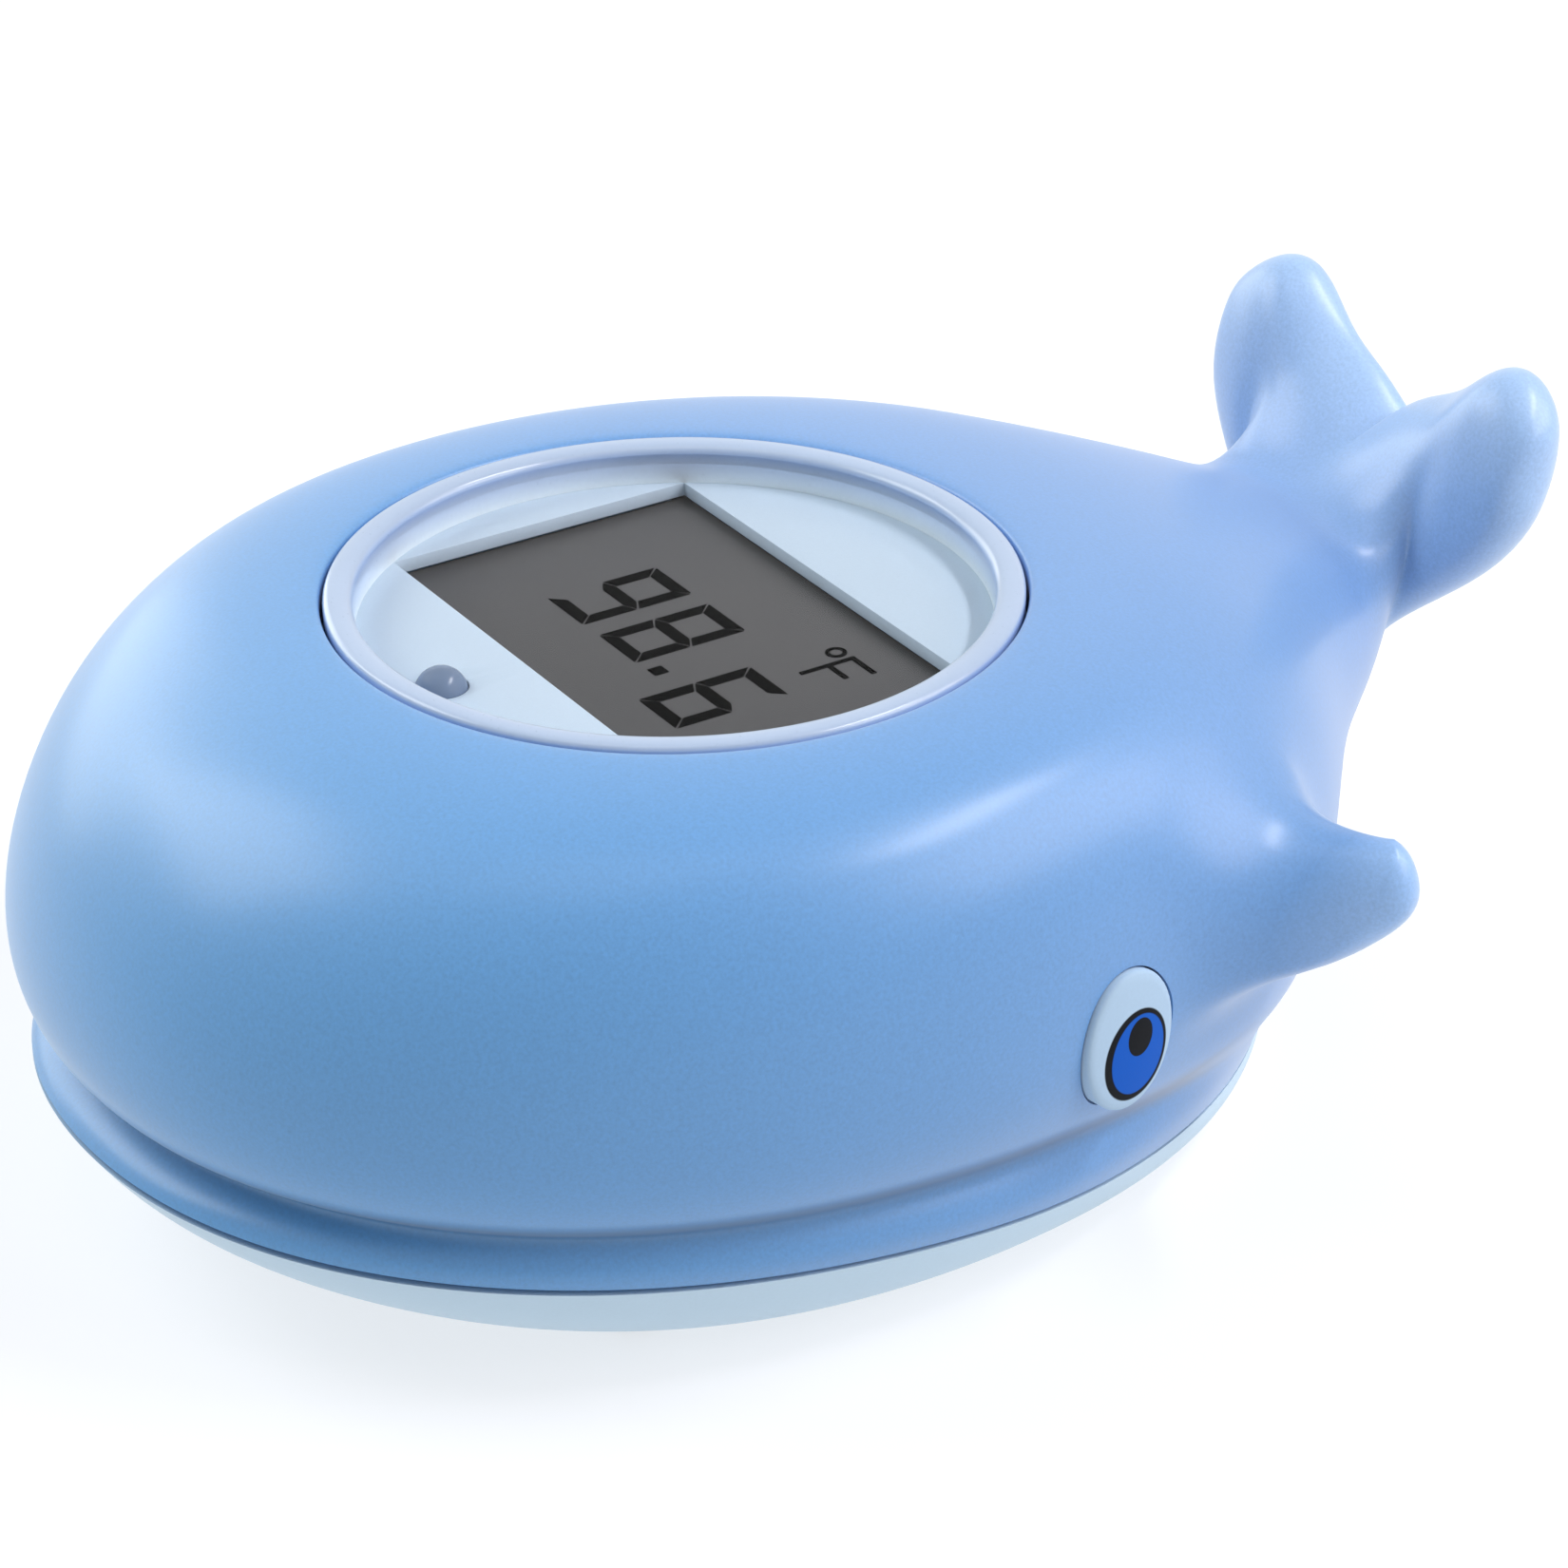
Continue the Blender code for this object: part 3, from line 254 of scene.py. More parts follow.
INNER_LIP = (1.0, A - W - 3.0, A - W - 3.7, F - W - 2.4, R - W - 5.4)
SHELL_INNER = (
    (*INNER_LIP, LIP, LIP, LIP),
    (1.0, A - W - 3.9, A - W - 3.5, F - W - 4.1, R - W - 5.5, LIP + 4.0, LIP + 4.3, LIP + 4.1),
    (1.0, A - W - 1.3, A - W - 1.3, F - W - 1.3, R - W - 5.4, LIP + 8.5, LIP + 8.7, LIP + 7.9),
    (1.0, A - W - 0.2, A - W - 0.7, F - W - 0.3, R - W - 5.6, -18.6, -18.4, -18.6),
    (1.0, A - W - 1.6, A - W - 1.9, F - W - 3.5, R - W - 7.3, -11.3, -11.0, -11.0),
    (1.0, A - W - 5.1, A - W - 5.5, F - W - 10.1, R - W - 12.3, -4.6 - W, -4.3 - W, -4.1 - W),
    circle_ring(SHELF_R, SHELF + 0.2 - W),
    circle_ring(SHELF_R, SHELF),
    circle_ring(POCKET_R, SHELF),
    circle_ring(24.27, -1.6),
)
SEAM_RING = len(SHELL_OUTER) - 1
LEDGE_RING = len(SHELL_OUTER) + len(SHELL_INNER) - 4
STOCK_COLS = (HALF - 2, HALF - 1, HALF, HALF + 1, HALF + 2)
FIN_COLS = (SIDE + 2, SIDE + 3, SIDE + 4)
MIRRORED_COLS = [COLUMNS - k for k in FIN_COLS]
# Each tail station: rear, top (two half widths, three heights), two side rows, bottom, lean.
TAIL_STATIONS = (
    (R - 0.1, (12.8, 7.2, -7.8, -5.4, -4.8), (15.4, -12.0), (15.2, -17.4),
     (12.0, 6.8, -22.4, -24.0, -24.5), -0.05),
    (R + 4.9, (9.0, 4.9, -9.0, -7.9, -7.4), (11.5, -12.2), (11.4, -17.0),
     (8.6, 4.6, -20.8, -21.9, -22.3), 0.0),
    (R + 7.9, (7.2, 3.0, -1.2, -3.2, -5.6), (8.8, -5.2), (9.2, -11.2),
     (7.6, 3.8, -17.0, -18.3, -18.8), 0.15),
    (R + 13.7, (6.8, 2.5, 2.6, 1.0, -1.6), (8.2, -4.0), (8.4, -9.8),
     (6.8, 3.4, -15.2, -16.4, -16.8), 0.20),
)
TAIL_LEAN_BELOW = 14
END_Y, END_SLOPE = R + 14.9, 0.20
END_ROWS = ((1, -5.4, 4.2), (2, -10.6, 4.2))
# Each fluke station: distance out, top, bottom, lean, half thickness.
FLUKE_STATIONS = ((11.6, 6.0, -12.7, 0.0, 4.1), (15.4, 4.7, -9.1, 0.1, 3.5),
                  (17.7, 2.0, -4.6, -0.3, 2.2))
FLUKE_Y, FLUKE_SLOPE, FLUKE_LEAN_BELOW = R + 12.7, 0.22, 4
FLUKE_SWELL = (0.62, 1.0, 1.0, 0.62)
FLUKE_ORDER = (0, 1, 2, 3, 7, 6, 5, 4)
# Each flipper station: reach, half width, height above and below the middle.
FIN_STATIONS = ((2.2, 5.0, 4.9, 6.2), (5.8, 3.2, 4.3, 4.8), (9.4, 1.9, 2.7, 3.0))
FIN_ROOT = Vector((A - 4.2, R - 23.3, -14.6))
FIN_TIP = 10.4
FIN_CORNERS = ((-1, 1), (0, 1), (1, 1), (1, 0), (1, -1), (0, -1), (-1, -1), (-1, 0))
FIN_SOFT_CORNER = 0.52
FIN_CORNER = 0.78


def tail_loop(verts, y, top_row, side_high, side_low, low_row, tilt):
    # Fourteen vertices round the tail stock: top, two sides and bottom.
    w0, w1, z0, z1, z2 = top_row
    b0, b1, g0, g1, g2 = low_row
    (s1, h1), (s2, h2) = side_high, side_low
    top = [(-w0, z0), (-w1, z1), (0, z2), (w1, z1), (w0, z0)]
    low = [(b0, g0), (b1, g1), (0, g2), (-b1, g1), (-b0, g0)]
    out = []
    for x, z in top + [(s1, h1), (s2, h2)] + low + [(-s2, h2), (-s1, h1)]:
        out.append(len(verts))
        verts.append((x, y + tilt * (z + TAIL_LEAN_BELOW), WINDOW_Z + z))
    return out


def fluke_loop(x, top, bottom, lean, half, sign):
    # Eight vertices round one station of a fluke: front then back column.
    rows = [top, top - (top - bottom) * 0.33, top - (top - bottom) * 0.67, bottom]
    loop = []
    for face in (-1, 1):
        for z, swell in zip(rows, FLUKE_SWELL):
            y = FLUKE_Y + FLUKE_SLOPE * (z + FLUKE_LEAN_BELOW) + lean + face * half * swell
            loop.append((sign * x, y, WINDOW_Z + z))
    return loop


def band(faces, loop, made):
    # A band of four-sided faces from one closed loop to the next.
    n = len(loop)
    faces += [(loop[i], loop[(i + 1) % n], made[(i + 1) % n], made[i]) for i in range(n)]


def ring_edges(ring):
    return [(ring[k], ring[(k + 1) % len(ring)]) for k in range(len(ring))]


def add_rings(verts, rings):
    # The vertices of all levels, as one row of numbers for each.
    index = []
    for ring in rings:
        index.append([len(verts) + k for k in range(COLUMNS)])
        verts += [ring_point(ring, k) for k in range(COLUMNS)]
    return index


def add_tail(verts, faces, index):
    # The tail stock, carried to the rear and up, and the closed end between the flukes.
    cols = STOCK_COLS[::-1]
    first = [index[3][k] for k in cols] + [index[4][cols[-1]], index[5][cols[-1]]]
    first += [index[6][k] for k in cols[::-1]] + [index[5][cols[0]], index[4][cols[0]]]
    loops = [first] + [tail_loop(verts, *station) for station in TAIL_STATIONS]
    for n in range(3):
        band(faces, loops[n], loops[n + 1])
    a, b = loops[3], loops[4]
    faces += [(a[i], a[i + 1], b[i + 1], b[i]) for i in (0, 1, 2, 3, 7, 8, 9, 10)]
    grid = [b[0:5]]
    for row, z, w in END_ROWS:
        line = [b[14 - row]]
        for x in (-w, 0, w):
            line.append(len(verts))
            verts.append((x, END_Y + END_SLOPE * (z + TAIL_LEAN_BELOW), WINDOW_Z + z))
        grid.append(line + [b[4 + row]])
    grid.append([b[11], b[10], b[9], b[8], b[7]])
    for r in range(3):
        faces += [(grid[r][k], grid[r][k + 1], grid[r + 1][k + 1], grid[r + 1][k])
                  for k in range(4)]
    return a, b, [a[2], b[2], grid[1][2]]


def add_flukes(verts, faces, a, b):
    # Flukes, carried out of the sides of the last stretch of the tail.
    for sign in (1, -1):
        rows = (4, 5, 6, 7) if sign == 1 else (0, 13, 12, 11)
        loop = [a[i] for i in rows] + [b[i] for i in rows]
        for station in FLUKE_STATIONS:
            made = [len(verts) + i for i in range(8)]
            verts += fluke_loop(*station, sign)
            band(faces, [loop[i] for i in FLUKE_ORDER], [made[i] for i in FLUKE_ORDER])
            loop = made
        faces += [(loop[i], loop[i + 1], loop[i + 5], loop[i + 4]) for i in range(3)]


def add_flippers(verts, faces, index):
    # Flippers, carried out of the cheeks, back and up.
    out = Vector((0.84, 0.42, 0.34)).normalized()
    aft = Vector((-0.42, 0.90, 0.0)).normalized()
    aft = (aft - out * aft.dot(out)).normalized()
    rise = out.cross(aft) * -1
    rise = rise if rise.z > 0 else rise * -1
    for sign, cols in ((1, FIN_COLS), (-1, MIRRORED_COLS)):
        loop = [index[4][cols[0]], index[4][cols[1]], index[4][cols[2]], index[5][cols[2]],
                index[6][cols[2]], index[6][cols[1]], index[6][cols[0]], index[5][cols[0]]]
        for reach, wide, above, below in FIN_STATIONS:
            mid = FIN_ROOT + out * reach
            made = []
            for h, v in FIN_CORNERS:
                k = FIN_SOFT_CORNER if (h, v) == (-1, 1) else FIN_CORNER if h and v else 1.0
                p = mid + aft * (h * wide * k) + rise * (v * (above if v > 0 else below) * k)
                made.append(len(verts))
                verts.append((sign * p.x, p.y, WINDOW_Z + p.z))
            band(faces, loop, made)
            loop = made
        mid = FIN_ROOT + out * FIN_TIP
        tip = len(verts)
        verts.append((sign * mid.x, mid.y, WINDOW_Z + mid.z))
        faces += [(loop[i - 1], loop[i], loop[i + 1], tip) for i in (0, 2, 4, 6)]


def whale_cage():
    # Levels from the window down to the seam and back up inside, then tail and flippers.
    verts, faces = [], []
    index = add_rings(verts, SHELL_OUTER + SHELL_INNER)
    for r in range(len(index)):
        s = (r + 1) % len(index)
        for k in range(COLUMNS):
            m = (k + 1) % COLUMNS
            in_tail = 3 <= r <= 5 and STOCK_COLS[0] <= k < STOCK_COLS[-1]
            in_fin = FIN_COLS[0] <= k < FIN_COLS[-1] or MIRRORED_COLS[-1] <= k < MIRRORED_COLS[0]
            if not in_tail and not (4 <= r <= 5 and in_fin):
                faces.append((index[r][k], index[r][m], index[s][m], index[s][k]))
    sharp = []
    for r in (SEAM_RING, SEAM_RING + 1, LEDGE_RING, LEDGE_RING + 1, LEDGE_RING + 2):
        sharp += ring_edges(index[r])
    a, b, valley = add_tail(verts, faces, index)
    sharp += list(zip(valley, valley[1:]))
    add_flukes(verts, faces, a, b)
    add_flippers(verts, faces, index)
    used = sorted({i for f in faces for i in f})
    place = {v: i for i, v in enumerate(used)}
    return ([verts[i] for i in used], [tuple(place[i] for i in f) for f in faces],
            [(place[p], place[q]) for p, q in sharp])


def mesh_object(name, verts, faces, material, sharp=()):
    # A closed mesh in millimetres, its faces turned outwards.
    mesh = bpy.data.meshes.new(name)
    mesh.from_pydata([(x * MM, y * MM, z * MM) for x, y, z in verts], [], faces)
    bm = bmesh.new()
    bm.from_mesh(mesh)
    bm.verts.ensure_lookup_table()
    if sharp:
        crease = bm.edges.layers.float.new("crease_edge")
        for p, q in sharp:
            edge = bm.edges.get((bm.verts[p], bm.verts[q]))
            if edge:
                edge[crease] = 1.0
    bmesh.ops.recalc_face_normals(bm, faces=bm.faces)
    bm.to_mesh(mesh)
    bm.free()
    obj = bpy.data.objects.new(name, mesh)
    scene.collection.objects.link(obj)
    mesh.materials.append(material)
    return obj


def settle(obj):
    # The result of the modifiers becomes the plain mesh.
    graph = bpy.context.evaluated_depsgraph_get()
    mesh = bpy.data.meshes.new_from_object(obj.evaluated_get(graph))
    obj.modifiers.clear()
    obj.data = mesh
    return obj


def rounded(obj, levels=3):
    mod = obj.modifiers.new("round", "SUBSURF")
    mod.levels = levels
    mod.render_levels = levels
    return settle(obj)


def cut(obj, tool):
    # Takes the tool's shape out of the piece, and the tool away.
    mod = obj.modifiers.new("cut", "BOOLEAN")
    mod.operation = "DIFFERENCE"
    mod.solver = "EXACT"
    mod.object = tool
    settle(obj)
    bpy.data.objects.remove(tool, do_unlink=True)


def shaded(obj, angle):
    # Smooth shading that keeps the edges sharper than the angle.
    mesh = obj.data
    mesh.polygons.foreach_set("use_smooth", [True] * len(mesh.polygons))
    bm = bmesh.new()
    bm.from_mesh(mesh)
    for edge in bm.edges:
        edge.smooth = (len(edge.link_faces) == 2
                       and edge.calc_face_angle(0.0) < math.radians(angle))
    bm.to_mesh(mesh)
    bm.free()


def keep(obj, slot, *nodes):
    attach(obj, "root")
    if nodes:
        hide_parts(*nodes)


def node_group(name, inputs, outputs, kind="ShaderNodeTree"):
    group = bpy.data.node_groups.new(name, kind)
    for socket_type, label, value in inputs:
        socket = group.interface.new_socket(label, in_out="INPUT", socket_type=socket_type)
        if value is not None:
            socket.default_value = value
    for socket_type, label in outputs:
        group.interface.new_socket(label, in_out="OUTPUT", socket_type=socket_type)
    return group, group.nodes.new("NodeGroupInput").outputs, group.nodes.new("NodeGroupOutput")


# Fine moulded grain: a tight speckle in the colour, the gloss and the height.
BROAD_SCALE = 55.0
GLOSS_CHANGE = 0.12
GRAIN_HEIGHT = 0.00002
grain_group, entry, leave = node_group(
    "moulded_grain",
    (("NodeSocketColor", "Colour", (0.5, 0.5, 0.5, 1)), ("NodeSocketFloat", "Grain Scale", 4500.0),
     ("NodeSocketFloat", "Speckle", 0.06), ("NodeSocketFloat", "Mottle", 0.05),
     ("NodeSocketFloat", "Roughness", 0.4), ("NodeSocketFloat", "Relief", 0.1)),
    (("NodeSocketColor", "Colour"), ("NodeSocketFloat", "Roughness"),
     ("NodeSocketVector", "Normal")))
place = add_node(grain_group, "ShaderNodeTexCoord").outputs["Object"]
fine = add_node(grain_group, "ShaderNodeTexNoise",
                {"Vector": place, "Scale": entry["Grain Scale"], "Detail": 2.0,
                 "Roughness": 0.6}).outputs["Fac"]
broad = add_node(grain_group, "ShaderNodeTexNoise",
                 {"Vector": place, "Scale": BROAD_SCALE, "Detail": 3.0}).outputs["Fac"]
fine_off = math_node(grain_group, "SUBTRACT", fine, 0.5)
broad_off = math_node(grain_group, "SUBTRACT", broad, 0.5)
change = math_node(grain_group, "ADD",
                   math_node(grain_group, "MULTIPLY", fine_off, entry["Speckle"]),
                   math_node(grain_group, "MULTIPLY", broad_off, entry["Mottle"]))
share = math_node(grain_group, "ADD", math_node(grain_group, "MULTIPLY", change, 2.0), 1.0)
tinted = add_node(grain_group, "ShaderNodeVectorMath", {0: entry["Colour"], "Scale": share},
                  operation="SCALE")
gloss = math_node(grain_group, "ADD", entry["Roughness"],
                  math_node(grain_group, "MULTIPLY", fine_off, GLOSS_CHANGE))
relief = add_node(grain_group, "ShaderNodeBump",
                  {"Distance": GRAIN_HEIGHT, "Strength": entry["Relief"], "Height": fine})
for source, label in ((tinted.outputs[0], "Colour"), (gloss, "Roughness"),
                      (relief.outputs["Normal"], "Normal")):
    grain_group.links.new(source, leave.inputs[label])


def grained(name, colour, roughness, speckle=0.06, mottle=0.04, relief_share=0.1,
            scale=4500.0, metal=0.0, gloss=()):
    # A moulded finish: the grain drives colour, roughness and normal of one Principled shader.
    material = bpy.data.materials.new(name)
    material.use_nodes = True
    tree = material.node_tree
    grain = add_node(tree, "ShaderNodeGroup", {
        "Colour": (*colour, 1), "Grain Scale": scale, "Speckle": speckle, "Mottle": mottle,
        "Roughness": roughness, "Relief": relief_share}, node_tree=grain_group, name="grain")
    shader = tree.nodes["Principled BSDF"]
    for source, label in (("Colour", "Base Color"), ("Roughness", "Roughness"),
                          ("Normal", "Normal")):
        tree.links.new(grain.outputs[source], shader.inputs[label])
    for label, value in {"Metallic": metal, **dict(gloss)}.items():
        shader.inputs[label].default_value = value
    return material


def coloured(material, colour):
    # A pattern takes the place of the plain colour under the grain.
    material.node_tree.links.new(colour, material.node_tree.nodes["grain"].inputs["Colour"])


def object_axes(tree):
    place = add_node(tree, "ShaderNodeTexCoord").outputs["Object"]
    return add_node(tree, "ShaderNodeSeparateXYZ", {0: place}).outputs


# Soft-touch blue: greener at the nose, more lilac to the tail. The paler blue on flukes and
# flippers is a painted highlight.
BLUE_NOSE = (0.085, 0.315, 0.635, 1)
BLUE_SIDE_PAINTED_HIGHLIGHT = (0.280, 0.490, 0.830)
MOUTH_Z = WINDOW_Z - SEAM_DROP + 4.9
MOUTH_TILT = SEAM_TILT * tilt_share(4.2 - SEAM_DROP)
MOUTH_HALF = 1.9
MOUTH_SHADE = 0.50
MOUTH_FADE = (8.0, 28.0)
SHELL_BLUE = grained("soft_touch_blue", (0.12, 0.31, 0.59), 0.50, 0.20, 0.04, 0.12, 4000.0,
                     gloss={"Specular IOR Level": 0.6, "Coat Weight": 0.6,
                            "Coat Roughness": 0.28, "Sheen Weight": 0.25})
tree = SHELL_BLUE.node_tree
axes = object_axes(tree)
blue_with_painted_highlight = BLUE_NOSE
# The tail stop and the two side stops paint a highlight on the flukes and the flippers.
for axis, start, end, colour in (("Y", -0.045, 0.050, (0.142, 0.305, 0.630)),
                                 ("Y", 0.050, 0.063, (0.350, 0.540, 0.830)),
                                 ("X", 0.0400, 0.0435, BLUE_SIDE_PAINTED_HIGHLIGHT),
                                 ("X", -0.0400, -0.0435, BLUE_SIDE_PAINTED_HIGHLIGHT)):
    along = add_node(tree, "ShaderNodeMapRange",
                     {"From Min": start, "From Max": end, "Value": axes[axis]})
    blue_with_painted_highlight = add_node(tree, "ShaderNodeMix", {0: along.outputs["Result"], 6: blue_with_painted_highlight, 7: (*colour, 1)},
                    data_type="RGBA").outputs[2]
# Painted shade in the mouth line: a darker soft band round its groove that fades towards the tail.
drop = math_node(tree, "ADD", axes["Z"], math_node(tree, "MULTIPLY", axes["Y"], MOUTH_TILT))
off = math_node(tree, "ABSOLUTE", math_node(tree, "SUBTRACT", drop, MOUTH_Z * MM))
bands = []
for source, start, end, least in ((off, 0.0, MOUTH_HALF, MOUTH_SHADE),
                                  (axes["Y"], *MOUTH_FADE, 0.0)):
    bands.append(add_node(tree, "ShaderNodeMapRange",
                          {"From Min": start * MM, "From Max": end * MM, "To Min": least,
                           "Value": source}, interpolation_type="SMOOTHSTEP").outputs["Result"])
shadow = add_node(tree, "ShaderNodeVectorMath",
                  {0: blue_with_painted_highlight, "Scale": math_node(tree, "MAXIMUM", *bands)}, operation="SCALE")
coloured(SHELL_BLUE, shadow.outputs[0])

verts, faces, sharp = whale_cage()
shell = rounded(mesh_object("upper_shell_skin", verts, faces, SHELL_BLUE, sharp))
# The root of each flipper is faired into the cheek before it.
FAIR_CENTRE = Vector((37.0, 22.5, WINDOW_Z - 10.2))
FAIR_REACH = 8.5
FAIR_ROUNDS = 110
FAIR_LEAST_X = BODY_HALF_WIDTH - 8.0
bm = bmesh.new()
bm.from_mesh(shell.data)
near = [v for v in bm.verts if abs(v.co.x) > FAIR_LEAST_X * MM
        and (Vector((abs(v.co.x), v.co.y, v.co.z)) / MM - FAIR_CENTRE).length < FAIR_REACH]
for step in range(FAIR_ROUNDS):
    bmesh.ops.smooth_vert(bm, verts=near, factor=0.5,
                          use_axis_x=True, use_axis_y=True, use_axis_z=True)
bm.to_mesh(shell.data)
bm.free()

# Oval sockets for the eye inserts, square to the cheeks.
EYE_Y = 10.25
EYE_Z = WINDOW_Z - 19.9
EYE_HALF_W = 3.95
EYE_HALF_H = 5.15
EYE_CENTRE = Vector((BODY_HALF_WIDTH - 1.0, EYE_Y, EYE_Z))
EYE_NORMAL = Vector((0.985, 0.172, 0.0)).normalized()
EYE_ALONG = Vector((-EYE_NORMAL.y, EYE_NORMAL.x, 0.0))
SOCKET_LEVELS = ((-1.55, 1.0), (4.0, 1.0))
SOCKET_PLAY = 0.15


def oval_stack(name, levels, side, material, grow=0.0, count=64):
    # Oval sections stacked along the eye's own normal: (depth, share of the outline).
    verts, faces = [], []
    for depth, part in levels:
        for i in range(count):
            turn = 2 * math.pi * i / count
            u = (EYE_HALF_W + grow) * part * math.cos(turn)
            v = (EYE_HALF_H + grow) * part * math.sin(turn)
            p = EYE_CENTRE + EYE_ALONG * u + Vector((0, 0, v)) + EYE_NORMAL * depth
            verts.append((side * p.x, p.y, p.z))
    for r in range(len(levels) - 1):
        for i in range(count):
            j = (i + 1) % count
            faces.append((r * count + i, r * count + j,
                          (r + 1) * count + j, (r + 1) * count + i))
    faces.append(tuple(range(count)))
    faces.append(tuple(range((len(levels) - 1) * count, len(levels) * count)))
    return mesh_object(name, verts, faces, material)


for side in (1, -1):
    cut(shell, oval_stack("socket", SOCKET_LEVELS, side, SHELL_BLUE, SOCKET_PLAY))
shaded(shell, 38)
keep(shell, "shell_blue", "upper_shell")

# Belly
# A shallow pale bowl that closes the shell along the seam and is held by the case screws, with
# a flat base, a round seat for the battery door and holes for screws, sensor cap and pins.
GAP = 0.3
BASE = -WINDOW_Z
S = LIP - GAP
DEEP = SEAM_Z
CELL_R = 10.0
DOOR_R = CELL_R + 8.5
DOOR_T = 1.6
SENSOR_R = 3.0
SENSOR_Y = -(DOOR_R + SENSOR_R + 3.0)
SENSOR_HOLE_TOP = 8.0
DISH_R = SENSOR_R + 1.4
DISH_TOP = 0.9
PIN_X = 9.5
PIN_Y = SENSOR_Y + 1.6
PIN_HOLE_R = 1.55
PIN_HOLE_TOP = 4.0
BORE_R = 2.9
BORE_TOP = 4.6
POST_X = BODY_HALF_WIDTH - 17.3
POST_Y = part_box("circuit_board")[1].y / MM + 4.4
UNDER = -1.0
OUTER_RINGS = 5


def level_ring(a_front, a_rear, front, rear, z):
    return (1.0, a_front, a_rear, front, rear, z, z, z)


BELLY_RINGS = (
    level_ring(A - 2.7, A - 3.5, F - 0.7, R - 5.1, S),
    level_ring(A - 3.3, A - 3.5, F - 3.0, R - 4.9, LIP - DEEP * 0.32),
    level_ring(A - 5.6, A - 4.1, F - 10.4, R - 6.6, LIP - DEEP * 0.7),
    level_ring(A - 10.4, A - 8.8, F - 16.4, R - 12.0, LIP - DEEP * 0.97),
    level_ring(A - 13.4, A - 13.2, F - 19.0, R - 17.6, BASE),
    level_ring(A - 12.6, A - 12.6, F - 17.6, R - 17.0, BASE + FLOOR_T),
    level_ring(A - 7.4, A - 7.4, F - 11.0, R - 10.8, LIP - DEEP * 0.41),
    level_ring(*INNER_LIP[1:], S),
)


def belly_cage():
    verts, faces = [], []
    index = add_rings(verts, BELLY_RINGS)
    for r in range(len(index)):
        if r != OUTER_RINGS - 1:
            band(faces, index[r], index[(r + 1) % len(index)])
    for row, z in ((OUTER_RINGS - 1, 0.0), (OUTER_RINGS, FLOOR_T)):
        centre = len(verts)
        verts.append((0.0, 0.0, z))
        for k in range(0, COLUMNS, 2):
            faces.append((centre, index[row][k], index[row][k + 1],
                          index[row][(k + 2) % COLUMNS]))
    return verts, faces, ring_edges(index[0]) + ring_edges(index[-1])


def turned(name, profile, material, segments=64, at=(0.0, 0.0), loop=False):
    # Turns a (radius, height) outline about an upright axis, with poles where the radius is nil.
    verts, faces, rows = [], [], []
    for r, z in profile:
        row = [len(verts) + i for i in range(1 if r < 1e-6 else segments)]
        for i in range(len(row)):
            turn = 2 * math.pi * i / segments
            verts.append((at[0] + r * math.cos(turn), at[1] + r * math.sin(turn), z))
        rows.append(row)
    for k in range(len(rows) if loop else len(rows) - 1):
        a, b = rows[k], rows[(k + 1) % len(rows)]
        for i in range(segments):
            j = (i + 1) % segments
            face = {a[i % len(a)]: 0, a[j % len(a)]: 0, b[j % len(b)]: 0, b[i % len(b)]: 0}
            if len(face) > 2:
                faces.append(tuple(face))
    return mesh_object(name, verts, faces, material)


def rod(r, low, high):
    return ((0, low), (r, low), (r, high), (0, high))


def countersunk(r, low, high, edge=0.25):
    # A cutter for a round hole with a small chamfer at the underside of the base.
    return ((0, low), (r + edge - low, low), (r, edge), (r, high), (0, high))


BELLY_PALE = grained("belly_pale", (0.58, 0.75, 0.87), 0.45, 0.03, 0.03, 0.06)
verts, faces, sharp = belly_cage()
belly = rounded(mesh_object("belly_skin", verts, faces, BELLY_PALE, sharp))
holes = [("door_seat", countersunk(DOOR_R + 0.25, UNDER, DOOR_T + GAP), 96, (0, 0)),
         ("dish", countersunk(DISH_R, UNDER, DISH_TOP), 64, (0, SENSOR_Y)),
         ("dish", rod(SENSOR_R + GAP, 0.5, SENSOR_HOLE_TOP), 64, (0, SENSOR_Y))]
for sx in (1, -1):
    holes.append(("pin_hole", countersunk(PIN_HOLE_R, UNDER, PIN_HOLE_TOP, 0.15), 32,
                  (sx * PIN_X, PIN_Y)))
    for sy in (1, -1):
        holes.append(("bore", countersunk(BORE_R, UNDER, BORE_TOP), 48,
                      (sx * POST_X, sy * POST_Y)))
for name, profile, segments, at in holes:
    cut(belly, turned(name, profile, BELLY_PALE, segments, at))
shaded(belly, 38)
keep(belly, "belly_pale", "belly_shell")

# Window
# A clear pane moulded in one with a raised frosted rim. The rim's skirt stands on the face plate
# and its inside makes the pale wall of the well.
T = WINDOW_Z
LENS_R = 24.0
LENS_IN_R = 22.0
SKIRT_END = T - 3.09
PANE_R = LENS_IN_R + 0.25
PANE_LOW, PANE_HIGH = T - 1.6, T - 0.62
RIM_PALE = grained("frosted_rim", (0.42, 0.54, 0.70), 0.30, 0.03, 0.10, 0.05, 3000.0,
                   gloss={"Coat Weight": 0.6, "Coat Roughness": 0.12})
tree = RIM_PALE.node_tree
# Painted light on the well's wall: darker and bluer at the top, where the blue shell shows through
# the clear skirt, and paler down to the plate, a painted reflection of its light.
depth = add_node(tree, "ShaderNodeMapRange",
                 {"From Min": (T - 0.2) * MM, "From Max": (T - 3.0) * MM,
                  "Value": object_axes(tree)["Z"]})
wall = add_node(tree, "ShaderNodeValToRGB", {"Fac": depth.outputs["Result"]})
wall.color_ramp.elements[0].color = (0.42, 0.53, 0.70, 1)
wall.color_ramp.elements[1].color = (0.85, 0.95, 1.0, 1)
wall.color_ramp.elements.new(0.16).color = (0.42, 0.60, 0.95, 1)
coloured(RIM_PALE, wall.outputs["Color"])
